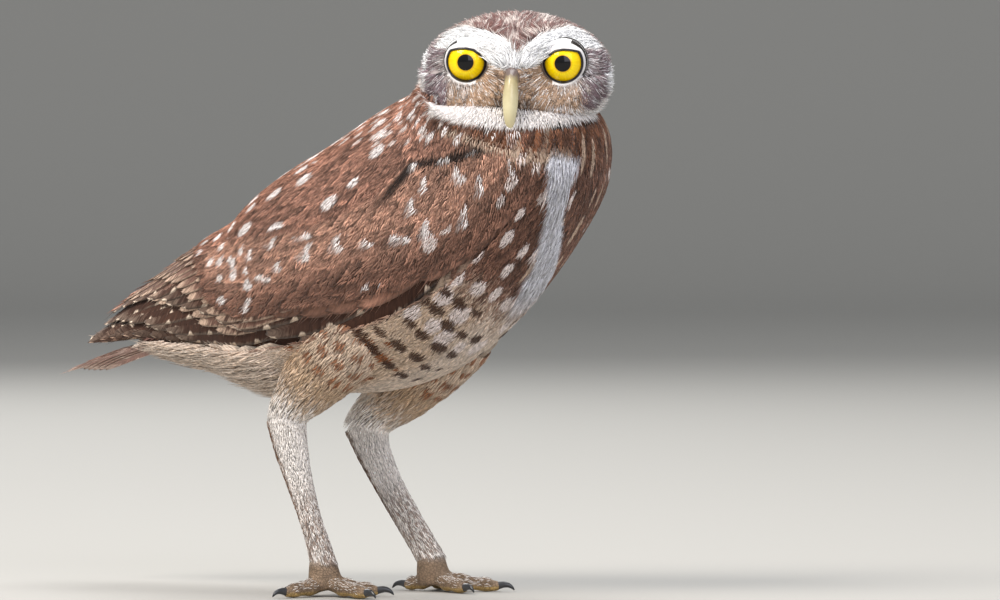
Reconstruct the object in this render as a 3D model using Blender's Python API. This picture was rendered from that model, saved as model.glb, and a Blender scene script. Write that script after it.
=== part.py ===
"""Burrowing owl, standing, life size.

The bird stands on its two long legs with its body sloping up to the right shoulder line and its head
turned to its own right. The body points along +X, its left side is +Y, and the floor is z = 0.
Everything is worked out in metres from the named sizes below.

The whole plumage is one smooth form, a run of oval sections along the body's line, from the wing tips
to the inside of the head. A place on it is a station t along that line and an angle round it from the
ridge of the back, so the torso, neck, wings and their feathers all share the same surface.
"""
import math

import bmesh
import bpy
import numpy as np
from mathutils import Matrix, Vector

MM = 0.001
GAP = 0.3 * MM                      # what touching pieces keep between them
FLAT_ANGLE = math.radians(1.0)      # faces nearer in line than this become one
ORIGIN_SHIFT = Vector((17.0, 0.5, 0.0)) * MM    # from the line of the feet to the middle of the box

# The plumage form. Each row: x, z, then how far it reaches towards the back, the belly and each side.
FORM_ROWS = np.array([
    (-118.0, 81.5, 5.0, 3.0, 5.5),
    (-104.0, 85.0, 9.5, 5.0, 10.0),
    (-90.0, 88.0, 15.5, 8.0, 15.0),
    (-74.0, 91.0, 21.5, 15.0, 20.0),
    (-57.0, 95.0, 26.5, 24.0, 26.0),
    (-38.0, 99.0, 33.0, 33.5, 32.0),
    (-17.0, 108.0, 37.0, 44.0, 37.5),
    (5.0, 119.0, 37.5, 48.5, 40.5),
    (24.0, 131.0, 37.0, 46.5, 41.5),
    (40.0, 144.0, 34.0, 42.5, 40.5),
    (50.0, 158.0, 31.0, 38.5, 37.5),
    (53.0, 169.0, 25.0, 25.0, 25.5),
    (54.0, 179.0, 14.0, 14.0, 14.0),
]) * MM
TORSO_REAR, TORSO_TOP = 3.2, 9.15   # stations where the torso meets the tail and the neck
NECK_TOP = 11.9
# The rump behind the torso: x, z, then reach upwards, downwards and to each side.
RUMP_ROWS = np.array([
    (-58.0, 93.0, 17.0, 2.0, 16.5), (-72.0, 91.5, 14.0, 3.0, 13.0),
    (-84.0, 89.0, 9.5, 2.4, 9.0), (-94.0, 86.5, 3.5, 1.2, 4.5),
]) * MM
BODY_STEP = 16.0 * MM                # how far apart two stations are at the neck

# The folded wing: its lower and upper border as angles from the back's ridge, row by station.
WING_STATIONS = (0.0, 1.0, 2.5, 4.0, 5.2, 6.2, 7.2, 8.0, 9.0, 9.9)
WING_LOW_DEG = (96.0, 104.0, 117.0, 121.0, 121.0, 124.0, 129.0, 135.0, 139.0, 134.0)
WING_TOP_DEG = (40.0, 22.0, 10.0, 8.0, 9.0, 14.0, 28.0, 45.0, 62.0, 84.0)
WING_DEPTH = 4.4 * MM               # how deep the folded wing lies in the plumage
WING_FRONT = 9.85                   # station of the bend of the wing
CORE_REAR = 3.3                     # station where the wing's flesh ends and only feathers go on
CORE_TOP, CORE_FLOOR = 1.9 * MM, 4.05 * MM
VANE_THICK, VANE_TILT = 0.7 * MM, 0.35 * MM
# Tiers of the right wing, deepest first: how many feathers, then station and angle of the first and
# last root and of the first and last tip, half width, depth of the roots, depth of the first and last
# tip in millimetres, and rows along each.
WING_TIERS = {
    "primary": (5, ((6.6, 7.6), (112.0, 124.0)), ((0.3, 2.7), (72.0, 111.0)), 4.7, 2.9, (2.3, 1.6), 5),
    "secondary": (6, ((6.4, 8.2), (30.0, 122.0)), ((1.3, 4.8), (36.0, 113.0)), 7.0, 2.9, (0.9, 1.5), 5),
    "greater_covert": (5, ((6.4, 8.9), (32.0, 128.0)), ((3.0, 6.8), (20.0, 121.0)), 7.8, 2.6, (0.6, 0.9), 4),
    "median_covert": (4, ((7.6, 9.2), (54.0, 131.0)), ((5.0, 7.9), (44.0, 127.0)), 7.8, 2.4, (0.4, 0.6), 4),
    "lesser_covert": (4, ((8.6, 9.4), (72.0, 131.0)), ((6.8, 8.8), (60.0, 130.0)), 6.8, 2.3, (0.1, 0.3), 4),
    "scapular": (4, ((7.6, 9.4), (26.0, 82.0)), ((4.5, 7.5), (14.0, 62.0)), 8.6, 2.4, (-0.1, 0.0), 4),
}

# The head: middle, half sizes, and how it is turned from the body's heading.
HEAD_MIDDLE = Vector((53.2, -2.0, 175.5)) * MM
HEAD_HALF = Vector((26.5, 33.3, 19.8)) * MM     # forward, sideways, up
HEAD_YAW, HEAD_PITCH = math.radians(-64.5), math.radians(5.0)
EYE_RADIUS = 8.2 * MM
EYE_MIDDLE = Vector((14.2, 16.4, 2.6)) * MM     # in the head's own frame, left eye
EYE_TURN = math.radians(6.0)
LID_RADIUS, LID_THICK = 6.7 * MM, 1.0 * MM

# Bill rows in the head's frame: forward, up, half width, half depth.
UPPER_BILL_ROWS = np.array([
    (19.0, -4.4, 4.2, 3.8), (23.5, -5.0, 4.1, 4.1), (26.8, -7.6, 3.7, 3.8), (28.7, -11.4, 3.0, 2.9),
    (29.2, -15.2, 1.9, 1.8), (28.5, -18.9, 0.5, 0.5),
]) * MM
LOWER_BILL_ROWS = np.array([
    (19.5, -12.6, 2.9, 1.9), (22.8, -13.1, 2.6, 1.7), (25.4, -14.4, 1.7, 1.1), (26.6, -15.6, 0.6, 0.5),
]) * MM

# Leg rows: x, y, z, half thickness along and across the bird. The thigh rows end at the heel joint.
THIGH_ROWS = {
    "right": np.array([(6, -19, 96, 16, 14), (-4, -19.5, 84, 15, 13), (-15, -20.2, 72, 11.5, 10.5),
                       (-22, -20.5, 64, 8.4, 7.8), (-25, -20.5, 59, 6.9, 6.6)], float) * MM,
    "left": np.array([(22, 19, 92, 15, 14), (10, 19.4, 79, 13, 12), (-2, 19.4, 68.5, 11, 10.5),
                      (-12, 19.2, 61, 8.9, 8.2), (-17.2, 19, 55.5, 8.0, 7.0)], float) * MM,
}
SHANK_ROWS = {
    "right": np.array([(-25, -20.5, 58, 6.9, 6.6), (-22.6, -21, 48, 5.9, 5.5), (-19, -21.5, 37, 4.7, 4.4),
                       (-14.9, -22, 26, 4.0, 3.9), (-11.6, -22, 17, 4.3, 4.1), (-9.6, -22, 10.5, 4.9, 4.5)],
                      float) * MM,
    "left": np.array([(-17.2, 19, 54.5, 8.0, 7.0), (-14.8, 19, 47, 6.3, 5.8), (-9.2, 19.5, 36, 5.3, 4.7),
                      (-3.0, 20, 26, 5.0, 4.4), (3.2, 20, 17, 4.9, 4.4), (7.6, 20, 10.5, 5.0, 4.6)],
                     float) * MM,
}
# Toes by number: heading from straight ahead towards the bird's outer side, and length.
TOES = {1: (178.0, 11.5 * MM), 2: (-24.0, 17.0 * MM), 3: (22.0, 21.5 * MM), 4: (112.0, 17.0 * MM)}
TOE_ROOT, TOE_TIP = 3.0 * MM, 1.9 * MM          # half thickness
CLAW_LENGTH, CLAW_HALF = 7.5 * MM, 1.35 * MM
FOOT_MIDDLE_Z = 5.0 * MM

# The tail: root and tip of its upper face, and the outline of the coverts that carry it.
TAIL_ROOT = Vector((-66.0, 0.0, 86.0)) * MM
TAIL_TIP = Vector((-121.0, 0.0, 74.0)) * MM
TAIL_HALF_ROOT, TAIL_HALF_TIP = 11.0 * MM, 17.0 * MM
# The coverts that carry it: x, z, then reach upwards, downwards and to each side.
TAIL_COVERT_ROWS = np.array([
    (-64.0, 85.0, 3.0, 12.0, 14.5), (-76.0, 83.5, 2.0, 8.5, 13.5),
    (-88.0, 81.0, 1.5, 5.0, 12.5), (-98.0, 79.0, 1.0, 2.6, 11.0),
]) * MM

COLOURS = {
    "brown_plumage": ((0.20, 0.11, 0.07), 0.85),
    "buff_plumage": ((0.62, 0.48, 0.34), 0.85),
    "head_plumage": ((0.40, 0.30, 0.23), 0.85),
    "leg_plumage": ((0.66, 0.58, 0.50), 0.9),
    "toe_skin": ((0.33, 0.25, 0.17), 0.7),
    "bill_horn": ((0.62, 0.58, 0.34), 0.35),
    "claw_horn": ((0.05, 0.06, 0.07), 0.3),
    "eye": ((0.90, 0.66, 0.02), 0.1),
}


def clear_scene():
    """Removes whatever the startup scene holds."""
    for obj in list(bpy.data.objects):
        bpy.data.objects.remove(obj, do_unlink=True)


def smooth_rows(rows, t):
    """Rows at fractional places t, on a Catmull-Rom curve through them."""
    last = len(rows) - 1
    i = np.clip(np.floor(t).astype(int), 0, last - 1)
    f = (t - i)[..., None]
    here, after = rows[i], rows[i + 1]
    before = np.where((i == 0)[..., None], 2 * here - after, rows[np.maximum(i - 1, 0)])
    beyond = np.where((i == last - 1)[..., None], 2 * after - here, rows[np.minimum(i + 2, last)])
    return here + 0.5 * f * (
        after - before + f * (2 * before - 5 * here + 4 * after - beyond
                              + f * (3 * (here - after) + beyond - before)))


def form_surface(t, angle):
    """Points of the plumage form at station t and angle from the back's ridge, on the right side."""
    t, angle = np.broadcast_arrays(np.asarray(t, float), np.asarray(angle, float))
    row = smooth_rows(FORM_ROWS, t)
    step = 0.02
    ahead = smooth_rows(FORM_ROWS[:, :2], t + step) - smooth_rows(FORM_ROWS[:, :2], t - step)
    ahead /= np.linalg.norm(ahead, axis=-1, keepdims=True)
    reach = np.where(np.cos(angle) > 0, row[..., 2], row[..., 3]) * np.cos(angle)
    return np.stack([row[..., 0] - ahead[..., 1] * reach,
                     -row[..., 4] * np.sin(angle),
                     row[..., 1] + ahead[..., 0] * reach], axis=-1)


def form_point(t, angle, depth=0.0):
    """form_surface sunk by depth along its own inward normal."""
    t, angle = np.broadcast_arrays(np.asarray(t, float), np.asarray(angle, float))
    step = 0.01
    along = form_surface(t + step, angle) - form_surface(t - step, angle)
    round_it = form_surface(t, angle + step) - form_surface(t, angle - step)
    inward = np.cross(along, round_it)
    inward /= np.linalg.norm(inward, axis=-1, keepdims=True)
    return form_surface(t, angle) + inward * np.asarray(depth)[..., None]


def wing_borders(t):
    """Lower and upper border angle of the folded wing at station t, in radians."""
    low = np.radians(np.interp(t, WING_STATIONS, WING_LOW_DEG))
    top = np.radians(np.interp(t, WING_STATIONS, WING_TOP_DEG))
    return low, top


def soft_step(x):
    """0 below 0, 1 above 1, and smooth between."""
    x = np.clip(x, 0.0, 1.0)
    return x * x * (3 - 2 * x)


def wing_bed(t, angle):
    """Depth of the hollow in the torso that the folded wing lies in."""
    low, top = wing_borders(t)
    side = np.minimum(np.abs(angle), 2 * np.pi - np.abs(angle))
    rim = math.radians(14.0)
    inside = soft_step((low - side) / rim + 0.1) * soft_step((side - top) / rim + 0.6)
    return WING_DEPTH * inside * soft_step((WING_FRONT - t) / 0.8)


def new_object(name, verts, faces, colour):
    """A mesh object with its own material, linked to the bird's collection."""
    mesh = bpy.data.meshes.new(name)
    mesh.from_pydata([tuple(v) for v in verts], [], [tuple(f) for f in faces])
    mesh.validate()
    obj = bpy.data.objects.new(name, mesh)
    OWL.objects.link(obj)
    if colour:
        mesh.materials.append(material(colour))
    return obj


def material(name):
    """The named Principled material, made once."""
    found = bpy.data.materials.get(name)
    if found:
        return found
    colour, roughness = COLOURS[name]
    made = bpy.data.materials.new(name)
    made.use_nodes = True
    shader = made.node_tree.nodes["Principled BSDF"]
    shader.inputs["Base Color"].default_value = (*colour, 1.0)
    shader.inputs["Roughness"].default_value = roughness
    shader.inputs["Metallic"].default_value = 0.0
    return made


def loft(name, rings, colour):
    """A closed solid through rings of points, with flat ends. It has no inside-out case: see outward."""
    rings = np.asarray(rings)
    n, m = rings.shape[:2]
    faces = []
    for i in range(n - 1):
        for j in range(m):
            k = (j + 1) % m
            faces.append((i * m + j, i * m + k, (i + 1) * m + k, (i + 1) * m + j))
    faces.append(tuple(range(m))[::-1])
    faces.append(tuple(range((n - 1) * m, n * m)))
    obj = new_object(name, rings.reshape(-1, 3), faces, colour)
    return outward(obj)


def plate(name, outer, inner, colour):
    """A closed solid between two grids of points, with both faces split into triangles alike."""
    n, m = outer.shape[:2]
    faces = []
    for i in range(n - 1):
        for j in range(m - 1):
            a, b, c, d = i * m + j, i * m + j + 1, (i + 1) * m + j + 1, (i + 1) * m + j
            faces += [(a, b, c), (a, c, d)]
            faces += [tuple(x + n * m for x in f[::-1]) for f in ((a, b, c), (a, c, d))]
    rim = [j for j in range(m)] + [i * m + m - 1 for i in range(1, n)]
    rim += [(n - 1) * m + j for j in range(m - 2, -1, -1)] + [i * m for i in range(n - 2, 0, -1)]
    for a, b in zip(rim, rim[1:] + rim[:1]):
        faces += [(b, a, a + n * m), (b, a + n * m, b + n * m)]
    verts = np.concatenate([outer.reshape(-1, 3), inner.reshape(-1, 3)])
    return outward(new_object(name, verts, faces, colour))


def outward(obj):
    """Turns the faces of a closed mesh outwards and splits them into triangles."""
    work = bmesh.new()
    work.from_mesh(obj.data)
    bmesh.ops.remove_doubles(work, verts=work.verts, dist=1e-7)
    bmesh.ops.triangulate(work, faces=work.faces)
    bmesh.ops.recalc_face_normals(work, faces=work.faces)
    if work.calc_volume(signed=True) < 0:
        bmesh.ops.reverse_faces(work, faces=work.faces)
    work.to_mesh(obj.data)
    work.free()
    return obj


def largest_body(obj):
    """Keeps the largest closed surface of the mesh and drops the others."""
    work = bmesh.new()
    work.from_mesh(obj.data)
    left, bodies = set(work.verts), []
    while left:
        queue = [left.pop()]
        body = set(queue)
        while queue:
            for edge in queue.pop().link_edges:
                for vert in edge.verts:
                    if vert in left:
                        left.discard(vert)
                        body.add(vert)
                        queue.append(vert)
        bodies.append(body)

    def size(body):
        faces = {f for v in body for f in v.link_faces}
        return abs(sum(f.calc_area() * f.normal.dot(f.calc_center_median()) for f in faces))

    bodies.sort(key=size)
    bmesh.ops.delete(work, geom=[v for body in bodies[:-1] for v in body], context="VERTS")
    bmesh.ops.dissolve_limit(work, angle_limit=FLAT_ANGLE, verts=work.verts, edges=work.edges)
    bmesh.ops.triangulate(work, faces=work.faces)
    work.to_mesh(obj.data)
    work.free()
    return obj


def boolean(obj, others, operation, solver="EXACT"):
    """Joins others to obj or cuts them from it, applies that, and removes the others."""
    tools = bpy.data.collections.new("tools")
    bpy.context.scene.collection.children.link(tools)
    for other in others:
        for holder in list(other.users_collection):
            holder.objects.unlink(other)
        tools.objects.link(other)
    modifier = obj.modifiers.new(operation.title(), "BOOLEAN")
    modifier.operation = operation
    modifier.solver = solver
    modifier.operand_type = "COLLECTION"
    modifier.collection = tools
    graph = bpy.context.evaluated_depsgraph_get()
    done = bpy.data.meshes.new_from_object(obj.evaluated_get(graph))
    obj.modifiers.clear()
    obj.data = done
    for other in others:
        bpy.data.objects.remove(other, do_unlink=True)
    bpy.data.collections.remove(tools)
    return largest_body(obj)


def swept(name, rows, colour, grow=0.0, sides=12):
    """A tube through rows of x, y, z and two half thicknesses: along X and across, square to its path."""
    rows = smooth_rows(rows, np.linspace(0, len(rows) - 1, 2 * len(rows) - 1))
    path = rows[:, :3].copy()
    ahead = np.gradient(path, axis=0)
    ahead /= np.linalg.norm(ahead, axis=1, keepdims=True)
    path[0] -= ahead[0] * grow
    path[-1] += ahead[-1] * grow
    across = np.cross(ahead, np.array([1.0, 0.0, 0.0]))
    across /= np.linalg.norm(across, axis=1, keepdims=True)
    front = np.cross(across, ahead)
    turn = np.linspace(0, 2 * np.pi, sides, endpoint=False)
    rings = (path[:, None] + front[:, None] * np.cos(turn)[None, :, None] * (rows[:, None, 3:4] + grow)
             + across[:, None] * np.sin(turn)[None, :, None] * (rows[:, None, 4:5] + grow))
    return loft(name, rings, colour)


def form_loft(name, first, last, rings, colour, grow=0.0, bed=True, sides=28):
    """The plumage form from one station to another, hollowed where the wings lie."""
    t = np.linspace(first, last, rings)[:, None]
    angle = np.linspace(0, 2 * np.pi, sides, endpoint=False)[None, :]
    t, angle = np.broadcast_arrays(t, angle)
    depth = wing_bed(t, angle) if bed else np.zeros(t.shape)
    points = form_point(t, angle, depth - grow)
    # Each end stays flat: its ring lies in the plane square to the body's line.
    for end, station, way in ((0, first, -1), (-1, last, 1)):
        ahead = (smooth_rows(FORM_ROWS[:, :2], np.array([station + 0.02]))
                 - smooth_rows(FORM_ROWS[:, :2], np.array([station - 0.02])))[0]
        ahead = np.array([ahead[0], 0, ahead[1]]) / np.linalg.norm(ahead)
        middle = smooth_rows(FORM_ROWS, np.array([station]))[0]
        middle = np.array([middle[0], 0, middle[1]]) + ahead * way * grow
        points[end] -= ((points[end] - middle) @ ahead)[:, None] * ahead
    return loft(name, points, colour)


def torso_blank(name, colour, grow=0.0, bed=True):
    """Breast, belly and back, with a bed for each wing."""
    return form_loft(name, TORSO_REAR, TORSO_TOP, 20, colour, grow, bed)


def rump_blank(name, colour, grow=0.0):
    """The lower back, which narrows between the wings towards the tail."""
    return loft(name, oval_rings(RUMP_ROWS, 7, 16, grow), colour)


def neck_blank(name, colour, grow=0.0, bed=True):
    """The short thick neck and shoulders, before the head is set in them."""
    return form_loft(name, TORSO_TOP + GAP / BODY_STEP, NECK_TOP, 8, colour, grow, bed)


def body_tools(bed=True):
    """Torso, rump and neck as cutters, larger all round by the gap."""
    return [torso_blank("torso_tool", None, GAP, bed), neck_blank("neck_tool", None, GAP, bed),
            rump_blank("rump_tool", None, GAP)]


def build_torso():
    """Torso and rump in one."""
    torso = torso_blank("torso", "buff_plumage")
    boolean(torso, [rump_blank("rump", None)], "UNION")


def head_matrix():
    """Places the head's own frame, with x forward, y to its left and z up."""
    turn = Matrix.Rotation(HEAD_YAW, 4, "Z") @ Matrix.Rotation(HEAD_PITCH, 4, "Y")
    return Matrix.Translation(HEAD_MIDDLE) @ turn


def head_point(across, up_angle, grow=0.0):
    """Points of the head in its own frame, by angle round it from the face and angle up."""
    cos_up, sin_up = np.cos(up_angle), np.sin(up_angle)
    x = np.cos(across) * cos_up
    y = np.sin(across) * cos_up
    z = sin_up
    # The lower half is fuller than an egg, as the cheeks and the ruff widen it.
    power = np.where(z < 0, 2.7, 2.1)
    scale = (np.abs(x) ** power + np.abs(y) ** power + np.abs(z) ** power) ** (-1 / power)
    half = np.array(HEAD_HALF) + grow
    points = np.stack([x * scale * half[0], y * scale * half[1], z * scale * half[2]], axis=-1)
    # The face is flattened into the disc, with a brow over each eye and a ridge between them.
    face = soft_step((points[..., 0] / half[0] - 0.35) / 0.4)
    y_mm, z_mm = np.abs(points[..., 1]) / MM, points[..., 2] / MM
    dish = 3.4 * np.exp(-(((y_mm - 16.4) / 9.5) ** 2 + ((z_mm - 1.0) / 8.5) ** 2))
    brow = 1.9 * np.exp(-((z_mm - 7.6 - 0.10 * y_mm) / 2.6) ** 2) * soft_step((27 - y_mm) / 8)
    ridge = 1.5 * np.exp(-(y_mm / 4.5) ** 2) * soft_step((8 - z_mm) / 8) * soft_step((z_mm + 12) / 8)
    points[..., 0] += face * (brow + ridge - dish) * MM
    return points


def head_blank(name, grow=0.0):
    """The head without its sockets. Its rings circle the line from face to nape."""
    rings, sides = 18, 30
    away = np.linspace(0.06, np.pi - 0.12, rings)[:, None]
    turn = np.linspace(0, 2 * np.pi, sides, endpoint=False)[None, :]
    x, y, z = np.cos(away) + 0 * turn, np.sin(away) * np.cos(turn), np.sin(away) * np.sin(turn)
    points = head_point(np.arctan2(y, x), np.arcsin(np.clip(z, -1, 1)), grow)
    obj = loft(name, points, "head_plumage")
    obj.data.transform(head_matrix())
    return obj


def eye_matrix(side):
    """Places an eye's own frame, with its line of sight along x. side is 1 for left, -1 for right."""
    middle = Vector((EYE_MIDDLE.x, side * EYE_MIDDLE.y, EYE_MIDDLE.z))
    return head_matrix() @ Matrix.Translation(middle) @ Matrix.Rotation(side * EYE_TURN, 4, "Z")


def ball(name, radius, matrix, colour, segments=16, rings=10):
    """A sphere with its poles along the x of its frame."""
    mesh = bpy.data.meshes.new(name)
    work = bmesh.new()
    bmesh.ops.create_uvsphere(work, u_segments=segments, v_segments=rings, radius=radius)
    bmesh.ops.triangulate(work, faces=work.faces)
    work.to_mesh(mesh)
    work.free()
    mesh.transform(matrix @ Matrix.Rotation(math.pi / 2, 4, "Y"))
    obj = bpy.data.objects.new(name, mesh)
    OWL.objects.link(obj)
    if colour:
        mesh.materials.append(material(colour))
    return obj


def lid_ring(name, side):
    """The lids of one eye: a ring round the opening, flatter above than below."""
    turn = np.linspace(0, 2 * np.pi, 18, endpoint=False)
    flat = np.where(np.sin(turn) > 0, 0.86, 1.0)
    reach = EYE_RADIUS * 0.72
    middle = np.stack([reach + 0 * turn, LID_RADIUS * np.cos(turn), LID_RADIUS * flat * np.sin(turn)], -1)
    outward_way = np.stack([0 * turn, np.cos(turn), np.sin(turn)], axis=-1)
    forward = np.array([1.0, 0.0, 0.0])
    corner = np.linspace(0, 2 * np.pi, 5, endpoint=False)
    rings = (middle[:, None] + outward_way[:, None] * (np.cos(corner) * LID_THICK)[None, :, None]
             + forward * (np.sin(corner) * LID_THICK * 1.3)[None, :, None])
    n, m = rings.shape[:2]
    faces = [(i * m + j, ((i + 1) % n) * m + j, ((i + 1) % n) * m + (j + 1) % m, i * m + (j + 1) % m)
             for i in range(n) for j in range(m)]
    obj = outward(new_object(name, rings.reshape(-1, 3), faces, None))
    obj.data.transform(eye_matrix(side))
    return obj


def bill_rows_sweep(name, rows, grow=0.0, colour="bill_horn"):
    """A bill half, swept through its rows in the head's frame."""
    rows = smooth_rows(rows, np.linspace(0, len(rows) - 1, 2 * len(rows) + 1))
    path = np.stack([rows[:, 0], 0 * rows[:, 0], rows[:, 1]], axis=-1)
    ahead = np.gradient(path, axis=0)
    ahead /= np.linalg.norm(ahead, axis=1, keepdims=True)
    across = np.array([0.0, 1.0, 0.0])
    over = np.cross(ahead, across)
    turn = np.linspace(0, 2 * np.pi, 12, endpoint=False)
    rings = (path[:, None] + across * np.sin(turn)[None, :, None] * (rows[:, None, 2:3] + grow)
             - over[:, None] * np.cos(turn)[None, :, None] * (rows[:, None, 3:4] + grow))
    obj = loft(name, rings, colour)
    obj.data.transform(head_matrix())
    return obj


def build_head():
    """Head with its sockets, lids, bill and eyes."""
    head = head_blank("head")
    boolean(head, [lid_ring(f"lids_{side}", side) for side in (1, -1)], "UNION")
    sockets = [ball(f"socket_{side}", EYE_RADIUS + GAP, eye_matrix(side), None) for side in (1, -1)]
    beds = [bill_rows_sweep("upper_bed", UPPER_BILL_ROWS, GAP, None),
            bill_rows_sweep("lower_bed", LOWER_BILL_ROWS, GAP, None)]
    boolean(head, sockets + beds, "DIFFERENCE")
    for label, side in (("left", 1), ("right", -1)):
        ball(f"eye_{label}", EYE_RADIUS, eye_matrix(side), "eye")
    upper = bill_rows_sweep("bill_upper", UPPER_BILL_ROWS)
    nostrils = []
    for side in (1, -1):
        place = Matrix.Translation(Vector((25.0 * MM, side * 3.9 * MM, -3.6 * MM)))
        nostrils.append(ball(f"nostril_{side}", 0.8 * MM, head_matrix() @ place, None, 12, 8))
    boolean(upper, nostrils, "DIFFERENCE")
    lower = bill_rows_sweep("bill_lower", LOWER_BILL_ROWS)
    boolean(lower, [bill_rows_sweep("upper_tool", UPPER_BILL_ROWS, GAP, None)], "DIFFERENCE")


def build_neck():
    """The neck, cupped under the head."""
    neck = neck_blank("neck", "brown_plumage")
    tools = [head_blank("head_tool", GAP), bill_rows_sweep("bill_tool", LOWER_BILL_ROWS, GAP, None),
             bill_rows_sweep("bill_tool_2", UPPER_BILL_ROWS, GAP, None)]
    boolean(neck, tools, "DIFFERENCE")


def wing_core():
    """The fleshy part of one folded wing, a smooth pad that carries its feathers."""
    stations = np.linspace(CORE_REAR, WING_FRONT, 10)
    share = np.linspace(0.04, 0.96, 6)
    t, share = np.meshgrid(stations, share, indexing="ij")
    low, top = wing_borders(t)
    angle = low + (top - low) * share
    edge = np.minimum(np.minimum(share, 1 - share) * 5, np.minimum(t - CORE_REAR, WING_FRONT - t) * 1.6)
    outer = CORE_TOP + (CORE_FLOOR - CORE_TOP - 0.5 * MM) * (1 - np.sqrt(np.clip(edge, 0, 1)))
    return plate("wing_right", form_point(t, angle, outer), form_point(t, angle, CORE_FLOOR + 0 * t),
                 "brown_plumage")


def vane_width(q):
    """Share of a vane's full width at q from root to tip: a narrow root and a blunt round end."""
    return np.interp(q, (0.0, 0.3, 0.75, 0.93, 1.0), (0.55, 0.95, 1.0, 0.66, 0.16))


def vane(name, root, tip, half, depths, tilt, rows):
    """One feather as a closed plate that lies along the plumage form.

    root and tip are a station and an angle in degrees, half is its half width, depths are how deep its
    root and its tip lie, and tilt sinks its upper edge, so that the next one lies over it.
    """
    q = np.linspace(0, 1, rows)[:, None]
    across = np.array([-1.0, 1.0])[None, :]
    t = root[0] + (tip[0] - root[0]) * q
    angle = np.radians(root[1] + (tip[1] - root[1]) * q)
    along_step = np.linalg.norm(form_surface(t + 0.1, angle) - form_surface(t - 0.1, angle), axis=-1) / 0.2
    round_step = np.linalg.norm(form_surface(t, angle + 0.1) - form_surface(t, angle - 0.1), axis=-1) / 0.2
    run = (tip[0] - root[0]) * along_step
    climb = math.radians(tip[1] - root[1]) * round_step
    length = np.hypot(run, climb)
    reach = half * vane_width(q) * across
    t = t - reach * climb / length / along_step
    angle = angle + reach * run / length / round_step
    depth = depths[0] + (depths[1] - depths[0]) * q + tilt * across
    # Over the flesh a vane is thick enough to grow out of it, and beyond it the blade is thin and free.
    under = np.where(t > CORE_REAR + 0.2, np.maximum(depth + VANE_THICK, CORE_TOP + 0.6 * MM),
                     depth + VANE_THICK)
    return plate(name, form_point(t, angle, depth), form_point(t, angle, under), None)


def wing_vanes():
    """Every feather of the right wing, tier by tier from the flight feathers to the scapulars."""
    vanes = []
    draw = np.random.default_rng(4)
    for tier, (count, roots, tips, half, root_depth, tip_depth, rows) in WING_TIERS.items():
        for i in range(count):
            f = i / (count - 1)
            root = [np.interp(f, (0, 1), ends) for ends in roots]
            tip = [np.interp(f, (0, 1), ends) for ends in tips]
            tip[0] += draw.uniform(-0.12, 0.12) * (f < 1)
            depths = (root_depth * MM, (tip_depth[0] + (tip_depth[1] - tip_depth[0]) * f) * MM)
            vanes.append(vane(f"{tier}_{i}", root, tip, half * MM, depths, VANE_TILT, rows))
    return vanes


def build_wings():
    """The right wing with its feathers, and its mirror image."""
    wing = wing_core()
    boolean(wing, wing_vanes(), "UNION", "MANIFOLD")
    boolean(wing, body_tools(), "DIFFERENCE", "MANIFOLD")
    mirrored(wing, "wing_left")


def mirrored(obj, name):
    """A copy of a right-hand piece on the left side."""
    mesh = obj.data.copy()
    mesh.name = name
    mesh.transform(Matrix.Scale(-1, 4, (0, 1, 0)))
    mesh.flip_normals()
    other = bpy.data.objects.new(name, mesh)
    OWL.objects.link(other)
    return other


def oval_rings(rows, count, sides, grow=0.0):
    """Rings square to the X axis through rows of x, z, and reach upwards, downwards and sideways."""
    rows = smooth_rows(rows, np.linspace(0, len(rows) - 1, count))
    turn = np.linspace(0, 2 * np.pi, sides, endpoint=False)
    reach = np.where(np.cos(turn) > 0, rows[:, 2:3], rows[:, 3:4]) + grow
    return np.stack([rows[:, :1] + 0 * turn,
                     (rows[:, 4:5] + grow) * np.sin(turn),
                     rows[:, 1:2] + reach * np.cos(turn)], axis=-1)


def build_tail():
    """Tail coverts and the fan of tail feathers as one smooth form out to its tip."""
    tail = loft("tail", oval_rings(TAIL_COVERT_ROWS, 7, 20), "brown_plumage")
    boolean(tail, tail_vanes(), "UNION", "MANIFOLD")
    boolean(tail, body_tools(), "DIFFERENCE", "MANIFOLD")


def tail_vanes():
    """Twelve tail feathers, the middle ones on top, and the short coverts over and under their roots."""
    vanes = []
    line = np.array(TAIL_TIP - TAIL_ROOT)
    tiers = (("rectrix", 12, 0.0, 1.0, 5.0 * MM, 0.0), ("upper_covert", 5, -0.05, 0.5, 5.5 * MM, 1.5 * MM),
             ("under_covert", 5, -0.05, 0.66, 5.8 * MM, -5.2 * MM))
    for tier, count, start, end, half, lift in tiers:
        for i in range(count):
            side = (i - (count - 1) / 2) / ((count - 1) / 2)
            q = np.linspace(0, 1, 5)[:, None]
            across = np.array([-1.0, 1.0])[None, :]
            along = start + (end - 0.07 * side ** 2 - start) * q
            spread = TAIL_HALF_ROOT + (TAIL_HALF_TIP - TAIL_HALF_ROOT) * along - half
            drop = 2.4 * MM * abs(side) + VANE_TILT * 0.6 * across * np.sign(side)
            rise = lift * (1 - 0.55 * q) - drop
            points = np.array(TAIL_ROOT) + line * along[..., None] + np.stack(
                [0 * along * across, side * spread + half * vane_width(q) * across, rise + 0 * q], axis=-1)
            vanes.append(plate(f"{tier}_{i}", points, points - np.array([0, 0, VANE_THICK]), None))
    return vanes


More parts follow.
